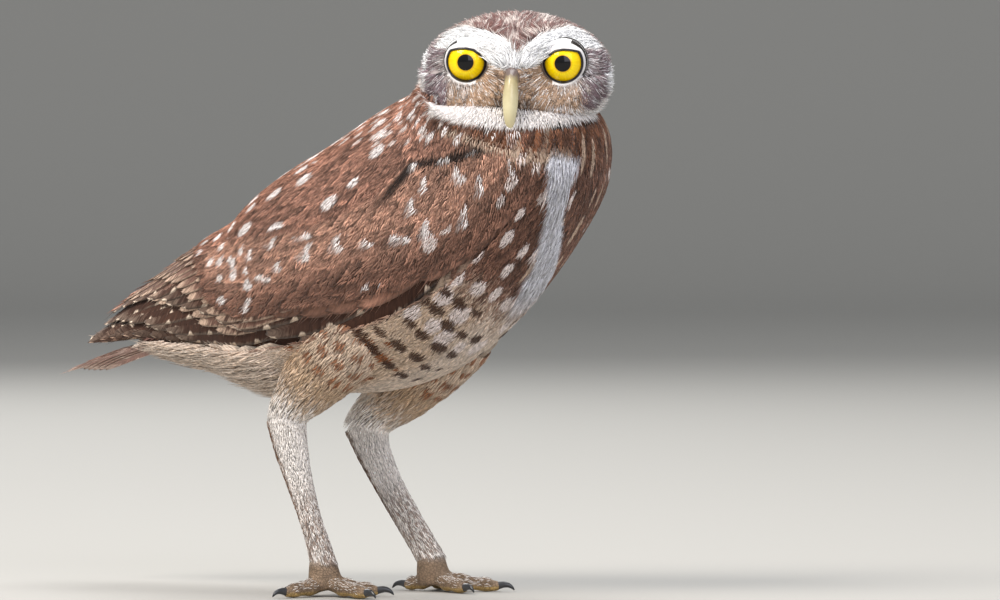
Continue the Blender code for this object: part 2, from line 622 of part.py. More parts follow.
def toe_rows(side, number):
    """Rows of one toe from the middle of the foot to its end, and its heading as a unit vector."""
    sign = 1 if side == "left" else -1
    base = SHANK_ROWS[side][-1]
    heading_deg, length = TOES[number]
    heading = math.radians(heading_deg) * sign
    way = np.array([math.cos(heading), math.sin(heading), 0.0])
    share = np.array([0.0, 0.22, 0.42, 0.6, 0.8, 1.0])
    height = np.array([5.4, 4.0, 3.0, 2.6, 2.1, 1.9]) * MM
    pads = np.array([1.0, 0.95, 1.12, 0.94, 1.12, 0.92])
    half = (TOE_ROOT + (TOE_TIP - TOE_ROOT) * share) * pads
    start = np.array([base[0] + 1.2 * MM, base[1], 0.0])
    points = start + way * ((length * share)[:, None]) + np.array([0, 0, 1.0]) * height[:, None]
    return points, half, way


def tube(name, points, half, colour, sides=7, grow=0.0):
    """A round tube through points with a half thickness at each."""
    points = np.asarray(points, float).copy()
    ahead = np.gradient(points, axis=0)
    ahead /= np.linalg.norm(ahead, axis=1, keepdims=True)
    points[0] -= ahead[0] * grow
    points[-1] += ahead[-1] * grow
    across = np.cross(ahead, np.array([0.0, 0.0, 1.0]))
    across /= np.linalg.norm(across, axis=1, keepdims=True)
    over = np.cross(across, ahead)
    turn = np.linspace(0, 2 * np.pi, sides, endpoint=False)
    rings = (points[:, None] + (across[:, None] * np.cos(turn)[None, :, None]
                                + over[:, None] * np.sin(turn)[None, :, None])
             * (np.asarray(half) + grow)[:, None, None])
    return loft(name, rings, colour)


def floor_block():
    """A block under the floor, to cut the soles flat."""
    work = bmesh.new()
    bmesh.ops.create_cube(work, size=200 * MM)
    mesh = bpy.data.meshes.new("under_floor")
    work.to_mesh(mesh)
    work.free()
    block = bpy.data.objects.new("under_floor", mesh)
    OWL.objects.link(block)
    mesh.transform(Matrix.Translation(Vector((0, 0, -100 * MM))))
    return block


def build_claw(side, number, name, colour="claw_horn", grow=0.0):
    """One curved claw, rooted in the end of its toe, its tip just over the floor."""
    points, half, way = toe_rows(side, number)
    start = points[-1] - way * 0.8 * MM
    share = np.linspace(0, 1, 6)
    bend = share * 1.25
    reach = CLAW_LENGTH / 1.25
    path = start + way * (np.sin(bend) * reach)[:, None]
    rise = np.array([0, 0, 1.0])
    path = path + rise * (0.9 * MM * np.sin(share * np.pi))[:, None]
    path = path - rise * ((start[2] - 0.7 * MM) * share ** 1.6)[:, None]
    size = CLAW_HALF * (1 - share) ** 0.75 + 0.25 * MM * share
    return tube(name, path, size, colour, 6, grow)


def build_leg(side):
    """Thigh, shank, foot and claws of one side."""
    thigh = swept(f"thigh_{side}", THIGH_ROWS[side], "buff_plumage")
    boolean(thigh, body_tools(False), "DIFFERENCE")
    shank = swept(f"shank_{side}", SHANK_ROWS[side], "leg_plumage")
    boolean(shank, [swept("thigh_tool", THIGH_ROWS[side], None, GAP)], "DIFFERENCE")
    base = SHANK_ROWS[side][-1]
    sole_rows = np.array([
        (base[0] - 0.4 * MM, base[1], base[2] + 1.0 * MM, base[3] * 1.05, base[4] * 1.05),
        (base[0] + 0.8 * MM, base[1], FOOT_MIDDLE_Z, 5.6 * MM, 5.2 * MM),
        (base[0] + 1.2 * MM, base[1], 1.2 * MM, 3.6 * MM, 3.4 * MM),
    ])
    foot = swept(f"foot_{side}", sole_rows, "toe_skin")
    toes = []
    for number in TOES:
        points, half, _ = toe_rows(side, number)
        toes.append(tube(f"toe_{number}", points, half, None))
    boolean(foot, toes, "UNION")
    tools = [swept("shank_tool", SHANK_ROWS[side], None, GAP), floor_block()]
    tools += [build_claw(side, number, f"claw_tool_{number}", None, GAP) for number in TOES]
    boolean(foot, tools, "DIFFERENCE")
    for number in TOES:
        build_claw(side, number, f"claw_{side}_{number}")


def main():
    build_torso()
    build_neck()
    build_head()
    build_wings()
    build_tail()
    for side in ("right", "left"):
        build_leg(side)
    for obj in OWL.objects:
        obj.data.transform(Matrix.Translation(ORIGIN_SHIFT))
        obj.data.shade_smooth()


clear_scene()
OWL = bpy.data.collections.new("burrowing_owl")
bpy.context.scene.collection.children.link(OWL)
main()
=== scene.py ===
"""Burrowing owl, dressed: one skin, its feathers, eyes, bill, feet and claws, on a plain pale floor.

The plumage follows the same smooth form as the solids. A place on it is a station t along the body's
line, from the wing tips to the head, and an angle round it from the ridge of the back, positive on the
bird's right. The head has its own form and the legs are tubes. Every feather is a thin closed blade
with a frayed edge of barbs, laid on one of these, and its markings are drawn along its own length.
"""
from __future__ import annotations

import logging
import math
from dataclasses import dataclass, field
from enum import Enum
from typing import Any, Callable

import bpy
import numpy as np
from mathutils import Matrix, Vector


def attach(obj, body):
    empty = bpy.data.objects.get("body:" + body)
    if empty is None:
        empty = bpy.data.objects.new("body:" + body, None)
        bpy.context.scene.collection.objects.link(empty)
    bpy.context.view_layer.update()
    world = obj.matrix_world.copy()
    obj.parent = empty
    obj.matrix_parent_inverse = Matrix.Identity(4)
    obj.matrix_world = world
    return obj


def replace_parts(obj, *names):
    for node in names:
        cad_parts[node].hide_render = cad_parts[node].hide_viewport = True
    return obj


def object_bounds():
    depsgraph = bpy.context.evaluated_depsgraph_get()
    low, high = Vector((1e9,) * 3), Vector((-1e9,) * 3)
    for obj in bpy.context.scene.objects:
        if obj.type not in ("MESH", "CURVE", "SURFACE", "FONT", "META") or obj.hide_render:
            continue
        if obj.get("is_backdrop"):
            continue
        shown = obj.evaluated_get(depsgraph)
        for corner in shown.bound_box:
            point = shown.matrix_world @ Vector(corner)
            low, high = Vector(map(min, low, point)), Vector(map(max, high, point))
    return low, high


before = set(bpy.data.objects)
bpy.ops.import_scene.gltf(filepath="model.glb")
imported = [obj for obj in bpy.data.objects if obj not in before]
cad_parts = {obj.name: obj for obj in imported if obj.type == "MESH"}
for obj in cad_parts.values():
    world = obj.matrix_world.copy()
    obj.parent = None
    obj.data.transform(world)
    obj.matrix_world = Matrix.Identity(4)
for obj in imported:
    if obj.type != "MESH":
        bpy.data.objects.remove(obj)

LOG = logging.getLogger("owl")
Array = np.ndarray
MM = 0.001
ORIGIN_SHIFT = np.array([17.0, 0.5, 0.0]) * MM     # from the line of the feet to the middle of the box


def hexed(code: str) -> Array:
    """Turns an sRGB hex colour into linear red, green and blue.

    Args:
        code: six hex digits with a leading hash.

    Returns:
        Three linear values.
    """
    srgb = np.array([int(code[i:i + 2], 16) for i in (1, 3, 5)]) / 255.0
    return np.where(srgb <= 0.04045, srgb / 12.92, ((srgb + 0.055) / 1.055) ** 2.4)


def soft_step(x: Any, low: float = 0.0, high: float = 1.0) -> Array:
    """Eases from 0 at low to 1 at high."""
    x = np.clip((np.asarray(x, float) - low) / (high - low), 0.0, 1.0)
    return x * x * (3.0 - 2.0 * x)


def unit(vectors: Array) -> Array:
    """Scales vectors to length one."""
    return vectors / np.maximum(np.linalg.norm(vectors, axis=-1, keepdims=True), 1e-12)


def blend(a: Array, b: Array, share: Any) -> Array:
    """Mixes colours by share, 0 for a and 1 for b."""
    share = np.asarray(share)[..., None]
    return a * (1 - share) + b * share


def smooth_rows(rows: Array, t: Array) -> Array:
    """Reads rows at fractional places on a Catmull-Rom curve through them.

    Args:
        rows: the rows, one for each whole number.
        t: places, in row numbers.

    Returns:
        One row for each place.
    """
    last = len(rows) - 1
    i = np.clip(np.floor(t).astype(int), 0, last - 1)
    f = (t - i)[..., None]
    here, after = rows[i], rows[i + 1]
    before = np.where((i == 0)[..., None], 2 * here - after, rows[np.maximum(i - 1, 0)])
    beyond = np.where((i == last - 1)[..., None], 2 * after - here, rows[np.minimum(i + 2, last)])
    return here + 0.5 * f * (
        after - before + f * (2 * before - 5 * here + 4 * after - beyond
                              + f * (3 * (here - after) + beyond - before)))


@dataclass(frozen=True)
class Curve:
    """A value that runs straight between its values at a few places."""

    at: tuple[float, ...]
    value: tuple[float, ...]

    def __call__(self, place: Array) -> Array:
        """The value at each place."""
        return np.interp(place, self.at, self.value)


# Forms that carry the feathers


JITTER = 0.22      # of feathers from their even places, as a share of the gap between them
ROW_GAP = 0.87     # from row to row, as a share of the gap within a row: they stand in equal triangles


class Carrier:
    """A surface told by a station along it and an angle round it."""

    stations: tuple[float, float] = (0.0, 1.0)
    atlas: tuple[float, float, float, float] = (0.0, 0.0, 1.0, 1.0)

    def surface(self, t: Array, angle: Array) -> Array:
        """Points of the surface."""
        raise NotImplementedError

    def middle(self, t: Array) -> Array:
        """Points on the line inside the surface."""
        raise NotImplementedError

    def inward(self, t: Array, angle: Array) -> Array:
        """Unit normals that point into the body, from central differences."""
        step = 0.01
        along = self.surface(t + step, angle) - self.surface(t - step, angle)
        round_it = self.surface(t, angle + step) - self.surface(t, angle - step)
        normal = unit(np.cross(along, round_it))
        towards = self.middle(t) - self.surface(t, angle)
        return normal * np.where((normal * towards).sum(-1, keepdims=True) < 0, -1.0, 1.0)

    def point(self, t: Array, angle: Array, depth: Array) -> Array:
        """Points sunk by depth along the inward normal."""
        t, angle, depth = np.broadcast_arrays(t, angle, depth)
        return self.surface(t, angle) + self.inward(t, angle) * depth[..., None]

    def steps(self, t: Array, angle: Array) -> tuple[Array, Array]:
        """Metres to one station and to one radian at each place."""
        along = np.linalg.norm(self.surface(t + 0.05, angle) - self.surface(t - 0.05, angle), axis=-1) / 0.1
        around = np.linalg.norm(self.surface(t, angle + 0.05) - self.surface(t, angle - 0.05), axis=-1) / 0.1
        return np.maximum(along, 1e-5), np.maximum(around, 1e-5)

    def unwrap(self, t: Array, angle: Array) -> Array:
        """Places on the flat unwrap of this surface: station across, angle up, inside its own rectangle."""
        first, last = self.stations
        u = self.atlas[0] + self.atlas[2] * np.clip((t - first) / (last - first), 0, 1)
        v = self.atlas[1] + self.atlas[3] * ((angle / (2 * np.pi) + 0.5) % 1.0)
        return np.stack([u, v], axis=-1)

    def scatter(self, first: float, last: float, low: float, high: float, gap: float,
                rng: np.random.Generator) -> tuple[Array, Array]:
        """Even places in staggered rows, like the tracts that feathers grow in, with a little jitter.

        Args:
            first: station of the first row.
            last: station of the last row.
            low: lowest angle.
            high: highest angle.
            gap: metres between neighbours.
            rng: source of the jitter.

        Returns:
            Stations and angles.
        """
        stations, angles = [], []
        t, row = first, 0
        middle = 0.5 * (low + high)
        while t <= last:
            along, around = (float(step) for step in self.steps(np.array(t), np.array(middle)))
            count = max(1, int(round((high - low) * around / gap)))
            places = low + (np.arange(count) + (0.25 if row % 2 else 0.75)) * (high - low) / count
            stations.append(np.full(count, t) + rng.uniform(-JITTER, JITTER, count) * gap / along)
            angles.append(places + rng.uniform(-JITTER, JITTER, count) * gap / around)
            t += ROW_GAP * gap / along
            row += 1
        return np.concatenate(stations), np.concatenate(angles)


BODY_ROWS = (
    (-118.0, 81.5, 5.0, 3.0, 5.5), (-104.0, 85.0, 9.5, 5.0, 10.0), (-90.0, 88.0, 15.5, 8.0, 15.0),
    (-74.0, 91.0, 21.5, 15.0, 20.0), (-57.0, 95.0, 26.5, 24.0, 26.0), (-38.0, 99.0, 33.0, 33.5, 32.0),
    (-17.0, 108.0, 37.0, 44.0, 37.5), (5.0, 119.0, 37.5, 48.5, 40.5), (24.0, 131.0, 37.0, 45.5, 40.5),
    (40.0, 144.0, 34.0, 40.5, 38.2), (50.0, 158.0, 31.0, 36.0, 35.0), (52.0, 168.0, 23.0, 20.0, 21.5),
    (54.0, 179.0, 14.0, 14.0, 14.0))
UNDERTAIL_ROWS = (
    (-58.0, 86.0, 3.0, 14.0, 16.0), (-66.0, 85.0, 3.0, 12.0, 14.5), (-76.0, 83.5, 2.0, 9.0, 13.5),
    (-88.0, 81.5, 1.5, 5.5, 12.5), (-98.0, 79.5, 1.0, 2.8, 11.0))


@dataclass
class BodyForm(Carrier):
    """Ovals square to a line in the bird's middle plane, each with its own reach above and below.

    Rows hold x, z, then how far the oval reaches towards the back, the belly and each side, in
    millimetres. They follow the named sizes of the solids, a little narrower at the neck.
    """

    rows: Any = BODY_ROWS
    atlas: tuple[float, float, float, float] = (0.02, 0.02, 0.50, 0.96)

    def __post_init__(self) -> None:
        """Scales the rows to metres and notes the last station."""
        self.rows = np.array(self.rows) * MM
        self.stations = (0.0, len(self.rows) - 1.0)

    def ahead(self, t: Array) -> Array:
        """Unit direction of the line, in x and z."""
        return unit(smooth_rows(self.rows[:, :2], t + 0.02) - smooth_rows(self.rows[:, :2], t - 0.02))

    def surface(self, t: Array, angle: Array) -> Array:
        """An oval's point: its reach is the upper or lower radius times cos, its side radius times sin."""
        t, angle = np.broadcast_arrays(np.asarray(t, float), np.asarray(angle, float))
        row, ahead = smooth_rows(self.rows, t), self.ahead(t)
        reach = np.where(np.cos(angle) > 0, row[..., 2], row[..., 3]) * np.cos(angle)
        return np.stack([row[..., 0] - ahead[..., 1] * reach, -row[..., 4] * np.sin(angle),
                         row[..., 1] + ahead[..., 0] * reach], axis=-1) + ORIGIN_SHIFT

    def middle(self, t: Array) -> Array:
        """Points on the line."""
        row = smooth_rows(self.rows, np.asarray(t, float))
        return np.stack([row[..., 0], 0 * row[..., 0], row[..., 1]], axis=-1) + ORIGIN_SHIFT


@dataclass
class LegForm(Carrier):
    """One length of a leg: rows of x, y, z and half thickness fore and aft and across, in millimetres."""

    rows: Any
    atlas: tuple[float, float, float, float] = (0.56, 0.02, 0.18, 0.2)

    def __post_init__(self) -> None:
        """Scales the rows to metres and notes the last station."""
        self.rows = np.asarray(self.rows, float) * MM
        self.rows[:, :3] += ORIGIN_SHIFT
        self.stations = (0.0, len(self.rows) - 1.0)

    def surface(self, t: Array, angle: Array) -> Array:
        """An oval's point round the leg's line: front radius times cos, side radius times sin."""
        t, angle = np.broadcast_arrays(np.asarray(t, float), np.asarray(angle, float))
        row = smooth_rows(self.rows, t)
        ahead = unit(smooth_rows(self.rows[:, :3], t + 0.02) - smooth_rows(self.rows[:, :3], t - 0.02))
        across = unit(np.cross(ahead, np.array([1.0, 0.0, 0.0])))
        return (row[..., :3] + np.cross(across, ahead) * (row[..., 3] * np.cos(angle))[..., None]
                + across * (row[..., 4] * np.sin(angle))[..., None])

    def middle(self, t: Array) -> Array:
        """Points on the leg's line."""
        return smooth_rows(self.rows, np.asarray(t, float))[..., :3]


# Height of a toe's line over the floor in millimetres, by the share of its length
TOE_HEIGHT = Curve((0.0, 0.22, 0.42, 0.6, 0.8, 1.0), (5.4, 4.0, 3.1, 2.8, 2.3, 1.9))
TOE_PADS = ((0.42, 0.22), (0.8, 0.26))      # place along the toe, and how far the pad swells it


@dataclass
class ToeForm(Carrier):
    """One toe, round in section, from the middle of the foot to the root of its claw."""

    start: Array
    heading: float
    length: float
    root: float = 3.1 * MM
    tip: float = 1.95 * MM
    atlas: tuple[float, float, float, float] = (0.78, 0.02, 0.2, 0.2)

    def __post_init__(self) -> None:
        """Works out the toe's directions on the floor."""
        self.way = np.array([math.cos(self.heading), math.sin(self.heading), 0.0])
        self.side = np.array([-self.way[1], self.way[0], 0.0])

    def middle(self, t: Array) -> Array:
        """The toe's line: it falls from the foot and runs out low along the floor."""
        t = np.asarray(t, float)
        height = TOE_HEIGHT(t) * MM
        rise = np.stack([0 * height, 0 * height, height], -1)
        return self.start + self.way * (self.length * t)[..., None] + rise

    def half(self, t: Array) -> Array:
        """Half thickness, which swells at each of the two pads under the toe."""
        t = np.asarray(t, float)
        pads = sum((swell * np.exp(-((t - place) / 0.1) ** 2) for place, swell in TOE_PADS), 0.92)
        return (self.root + (self.tip - self.root) * t) * pads

    def surface(self, t: Array, angle: Array) -> Array:
        """A circle round the toe's line, flat where it rests on the floor."""
        t, angle = np.broadcast_arrays(np.asarray(t, float), np.asarray(angle, float))
        points = self.middle(t) + self.half(t)[..., None] * (
            np.cos(angle)[..., None] * np.array([0, 0, 1.0]) + np.sin(angle)[..., None] * self.side)
        points[..., 2] = np.maximum(points[..., 2], 0.05 * MM)
        return points


@dataclass
class HeadForm:
    """The head in its own frame: x out of the face, y to the bird's left, z up.

    A point is an egg's, fuller below, pushed in round each eye to make the facial disc and out along
    each brow and between the eyes.
    """

    centre: Array = field(default_factory=lambda: np.array([53.2, -2.0, 175.5]) * MM + ORIGIN_SHIFT)
    half: Array = field(default_factory=lambda: np.array([26.5, 31.2, 18.9]) * MM)
    powers: tuple[float, float] = (2.7, 1.95)      # of the egg below and above its middle, 2 for an oval
    yaw: float = math.radians(-64.5)
    pitch: float = math.radians(5.0)
    roll: float = math.radians(-0.7)
    eye: Array = field(default_factory=lambda: np.array([14.4, 15.9, 4.4]) * MM)
    aside: float = 0.8 * MM            # the middle between the eyes lies this far to the bird's left
    eye_radius: float = 8.2 * MM
    dish: float = 3.0                  # millimetres by which the discs and the eyes' sockets are sunk
    socket: float = 5.5
    brow: float = 1.9                  # millimetres by which the brows and the ridge between them stand out
    ridge: float = 0.9
    atlas: tuple[float, float, float, float] = (0.56, 0.26, 0.42, 0.7)

    def __post_init__(self) -> None:
        """Works out the head's axes in the bird's frame: roll, then pitch, then yaw."""
        def spin(angle: float, first: int, second: int) -> Array:
            """A turn in the plane of two axes."""
            made = np.eye(3)
            made[first, first] = made[second, second] = math.cos(angle)
            made[first, second], made[second, first] = -math.sin(angle), math.sin(angle)
            return made
        self.axes = spin(self.yaw, 0, 1) @ spin(self.pitch, 2, 0) @ spin(self.roll, 1, 2)

    def to_world(self, points: Array) -> Array:
        """Head frame to the bird's frame."""
        return points @ self.axes.T + self.centre

    def to_head(self, points: Array) -> Array:
        """The bird's frame to the head frame."""
        return (points - self.centre) @ self.axes

    def eye_middle(self, side: Any) -> Array:
        """Middles of the eyes of each side, 1 for the bird's left and -1 for its right."""
        side = np.asarray(side, float)
        across = self.eye[1] * side + self.aside
        return np.stack([self.eye[0] + 0 * side, across, self.eye[2] + 0 * side], -1)

    def from_eye(self, points: Array) -> tuple[Array, Array]:
        """Millimetres out from the middle of the nearest eye, away from the bill, and up."""
        out = np.abs(points[..., 1] - self.aside) - self.eye[1]
        return out / MM, (points[..., 2] - self.eye[2]) / MM

    def from_lids(self, points: Array) -> Array:
        """Millimetres from the middle of the nearest eye, counted longer upwards, as the lids are flatter
        there."""
        out, up = self.from_eye(points)
        return np.hypot(out, np.where(up > 0, 1.25 * up, up))

    def settle(self, points: Array) -> Array:
        """Puts points of the head frame on the head's surface, along the ray from its middle."""
        way = unit(points / self.half)
        power = np.where(way[..., 2:] < 0, *self.powers)
        skin = way * (np.abs(way) ** power).sum(-1, keepdims=True) ** (-1.0 / power) * self.half
        face = soft_step(skin[..., 0] / self.half[0], 0.35, 0.75)
        y, z = np.abs(skin[..., 1] - self.aside) / MM, skin[..., 2] / MM
        dish = self.dish * np.exp(-(((y - 16.0) / 9.5) ** 2 + ((z - 2.0) / 8.5) ** 2))
        brow = self.brow * np.exp(-((z - 9.8 - 0.06 * y) / 2.6) ** 2) * soft_step((27 - y) / 8)
        ridge = self.ridge * np.exp(-(y / 4.5) ** 2) * soft_step((8 - z) / 8) * soft_step((z + 12) / 8)
        socket = self.socket * soft_step(7.1 - self.from_lids(skin), 0, 0.8)
        skin[..., 0] += face * (brow + ridge - dish - socket) * MM
        return skin

    def outward(self, points: Array) -> Array:
        """Unit normals of the egg that the head is worked from."""
        return unit(points / self.half ** 2)

    def unwrap(self, points: Array) -> Array:
        """Places on the flat unwrap of the head: the way round it across, the way from face to nape up."""
        way = unit(points / self.half)
        away = np.arccos(np.clip(way[..., 0], -1, 1)) / np.pi
        round_it = np.arctan2(way[..., 1], way[..., 2]) / (2 * np.pi) + 0.5
        return np.stack([self.atlas[0] + self.atlas[2] * round_it, self.atlas[1] + self.atlas[3] * away], -1)


# Meshes


def paint(mesh: bpy.types.Mesh, key: str, colours: Array) -> None:
    """Gives a mesh's vertices a colour attribute."""
    layer = mesh.attributes.new(key, "FLOAT_COLOR", "POINT")
    rgba = np.concatenate([colours, np.ones((len(colours), 1))], axis=1)
    layer.data.foreach_set("color", rgba.astype(np.float32).ravel())


@dataclass
class MeshArrays:
    """Points and triangles of a mesh, with what its vertices carry."""

    points: Array
    faces: Array
    colours: dict[str, Array] = field(default_factory=dict)
    vectors: dict[str, Array] = field(default_factory=dict)
    bake: Array | None = None

    def __post_init__(self) -> None:
        """Turns the faces of a closed mesh outwards, by the sign of the volume that they enclose."""
        a, b, c = (self.points[self.faces[:, i]] for i in range(3))
        if (np.cross(a, b) * c).sum() < 0:
            self.faces = self.faces[:, ::-1]

    def build(self, name: str) -> bpy.types.Object:
        """Makes the Blender object, smooth shaded, at the origin.

        Args:
            name: the object's name.

        Returns:
            The object, linked to the scene.
        """
        mesh = bpy.data.meshes.new(name)
        count = len(self.faces)
        mesh.vertices.add(len(self.points))
        mesh.vertices.foreach_set("co", np.ascontiguousarray(self.points, np.float32).ravel())
        mesh.loops.add(self.faces.size)
        mesh.loops.foreach_set("vertex_index", np.ascontiguousarray(self.faces, np.int32).ravel())
        mesh.polygons.add(count)
        mesh.polygons.foreach_set("loop_start", np.arange(0, self.faces.size, 3, dtype=np.int32))
        mesh.polygons.foreach_set("loop_total", np.full(count, 3, np.int32))
        mesh.polygons.foreach_set("use_smooth", np.full(count, True))
        for key, values in self.colours.items():
            paint(mesh, key, values)
        for key, values in self.vectors.items():
            layer = mesh.attributes.new(key, "FLOAT_VECTOR", "POINT")
            layer.data.foreach_set("vector", values.astype(np.float32).ravel())
        if self.bake is not None:
            layer = mesh.uv_layers.new(name="OFBake")
            layer.data.foreach_set("uv", self.bake[self.faces.ravel()].astype(np.float32).ravel())
        mesh.update(calc_edges=True)
        mesh.validate()
        obj = bpy.data.objects.new(name, mesh)
        bpy.context.scene.collection.objects.link(obj)
        return obj


def grid_faces(rows: int, cols: int, closed: bool) -> Array:
    """Triangles of a grid of points, row by row, two for each cell.

    Args:
        rows: how many rows of points.
        cols: how many points in a row.
        closed: whether the last column joins the first.

    Returns:
        Three vertex numbers for each triangle.
    """
    i, j = np.meshgrid(np.arange(rows - 1), np.arange(cols if closed else cols - 1), indexing="ij")
    a, b = i * cols + j, i * cols + (j + 1) % cols
    return np.stack([a, b, b + cols, a, b + cols, a + cols], -1).reshape(-1, 3)


def tube_arrays(rings: Array, share: Array | None = None) -> MeshArrays:
    """A closed tube through rings of points, each end closed by a fan onto its middle.

    Args:
        rings: the points, (rings, points in a ring, 3).
        share: how far along each ring is from 0 to 1, for the lay attribute.

    Returns:
        The mesh.
    """
    n, m = rings.shape[:2]
    points = np.concatenate([rings.reshape(-1, 3), rings[0].mean(0)[None], rings[-1].mean(0)[None]])
    j = np.arange(m)
    base = (n - 1) * m
    first = np.stack([(j + 1) % m, j, np.full(m, n * m)], -1)
    last = np.stack([base + j, base + (j + 1) % m, np.full(m, n * m + 1)], -1)
    made = MeshArrays(points, np.concatenate([grid_faces(n, m, True), first, last]))
    if share is not None:
        along = np.concatenate([np.repeat(share, m), share[[0, -1]]])
        made.vectors["lay"] = np.stack([along, 0 * along, 0 * along], -1)
    return made


@dataclass(frozen=True)
class BladeShape:
    """How one kind of feather is cut: its grid, its outline, its relief and its fringe of barbs."""

    rows: int = 6
    cols: int = 3
    root: float = 0.45                 # share of the full width at the root
    shoulder: float = 0.3              # where along the feather it is full
    blunt: float = 3.6                 # high for a square tip, low for a pointed one
    thick: float = 0.14 * MM
    crown: float = 0.18 * MM           # how far the edges lie below the shaft
    ragged: float = 0.10               # how uneven its edges are
    barbs: int = 6                     # loose barbs on each side
    barb: float = 0.17 * MM            # their half width
    sweep: float = 0.16                # how far they run on, as a share of the feather
    inset: float = 0.55                # how far out they are rooted, as a share of the half width

    def along(self) -> Array:
        """Places of the rows from root to tip, closer towards the tip."""
        return 1 - (1 - np.linspace(0, 1, self.rows)) ** 1.35

    def width(self, u: Array) -> Array:
        """Share of the full width at each place along the feather."""
        grow = self.root + (1 - self.root) * soft_step(u, 0.0, self.shoulder)
        return grow * np.sqrt(np.clip(1 - np.clip(u, 0, 1) ** self.blunt, 0.0, 1)) + 0.02

    def faces(self) -> tuple[Array, Array]:
        """Topology of one feather: an upper and a lower grid that share their rim, then its barbs, each
        a thin pyramid of four points.

        Returns:
            Triangles, and the grid place of each vertex below the upper grid.
        """
        n, m = self.rows, self.cols
        upper = grid_faces(n, m, False)
        i, j = np.meshgrid(np.arange(n), np.arange(m), indexing="ij")
        inner = ((i > 0) & (i < n - 1) & (j > 0) & (j < m - 1)).ravel()
        lower_of = np.arange(n * m)
        lower_of[inner] = n * m + np.arange(inner.sum())
        first = n * m + int(inner.sum())
        spike = np.array([[0, 1, 3], [1, 0, 2], [3, 1, 2], [0, 3, 2]])
        spikes = first + (spike[None] + 4 * np.arange(2 * self.barbs)[:, None, None]).reshape(-1, 3)
        return np.concatenate([upper, lower_of[upper][:, ::-1], spikes]), np.flatnonzero(inner)


@dataclass
class Marks:
    """What is drawn on each feather of a batch. Every field holds one row for each feather."""

    base: Array
    mark: Array
    strength: Array    # of the bars, of the pale edge, then millimetres from bar to bar

    @staticmethod
    def plain(base: Array, mark: Array, strength: Any = (0.0, 0.0, 10.0)) -> "Marks":
        """Marks from one row for all feathers, where a field has no row for each."""
        ones = np.ones((len(base), 1))
        return Marks(base, ones * mark, ones * np.array(strength))


PATCH = 0.0015     # half of a feather's patch on the unwrap


def joined(points: Array, faces: Array, lay: Array, patch: Array, length: Array, half: Array, marks: Marks,
           rng: np.random.Generator) -> MeshArrays:
    """Joins like pieces into one mesh and gives each vertex what its feather carries.

    Args:
        points: places, (N, V, 3).
        faces: vertex numbers of one piece.
        lay: place along and across the feather, (N or 1, V, 2).
        patch: the root's place on the unwrap, (N, 2).
        length: feather lengths.
        half: feather half widths.
        marks: what is drawn on them.
        rng: source of each feather's own number.

    Returns:
        The mesh. Its bake map holds a patch about 0.003 across for each feather.
    """
    count, size = points.shape[:2]
    corners = (faces[None] + (np.arange(count) * size)[:, None, None]).reshape(-1, 3)
    lay = np.broadcast_to(lay, (count, size, 2))
    own = np.broadcast_to(rng.uniform(0, 1, count)[:, None, None], (count, size, 1))
    span = np.stack([lay[..., 0] * length[:, None] / MM, lay[..., 1] * half[:, None] / MM,
                     np.broadcast_to(length[:, None] / MM, (count, size))], -1)
    bake = patch[:, None, :] + PATCH * np.stack([lay[..., 1], 2 * np.clip(lay[..., 0], 0, 1) - 1], -1)

    def each(values: Array) -> Array:
        """Repeats a feather's row for each of its vertices."""
        return np.repeat(values, size, axis=0)

    return MeshArrays(points.reshape(-1, 3), corners,
                      {"base": each(marks.base), "mark": each(marks.mark)},
                      {"lay": np.concatenate([lay, own], -1).reshape(-1, 3), "span": span.reshape(-1, 3),
                       "strength": each(marks.strength)},
                      np.clip(bake.reshape(-1, 2), 0.001, 0.999))


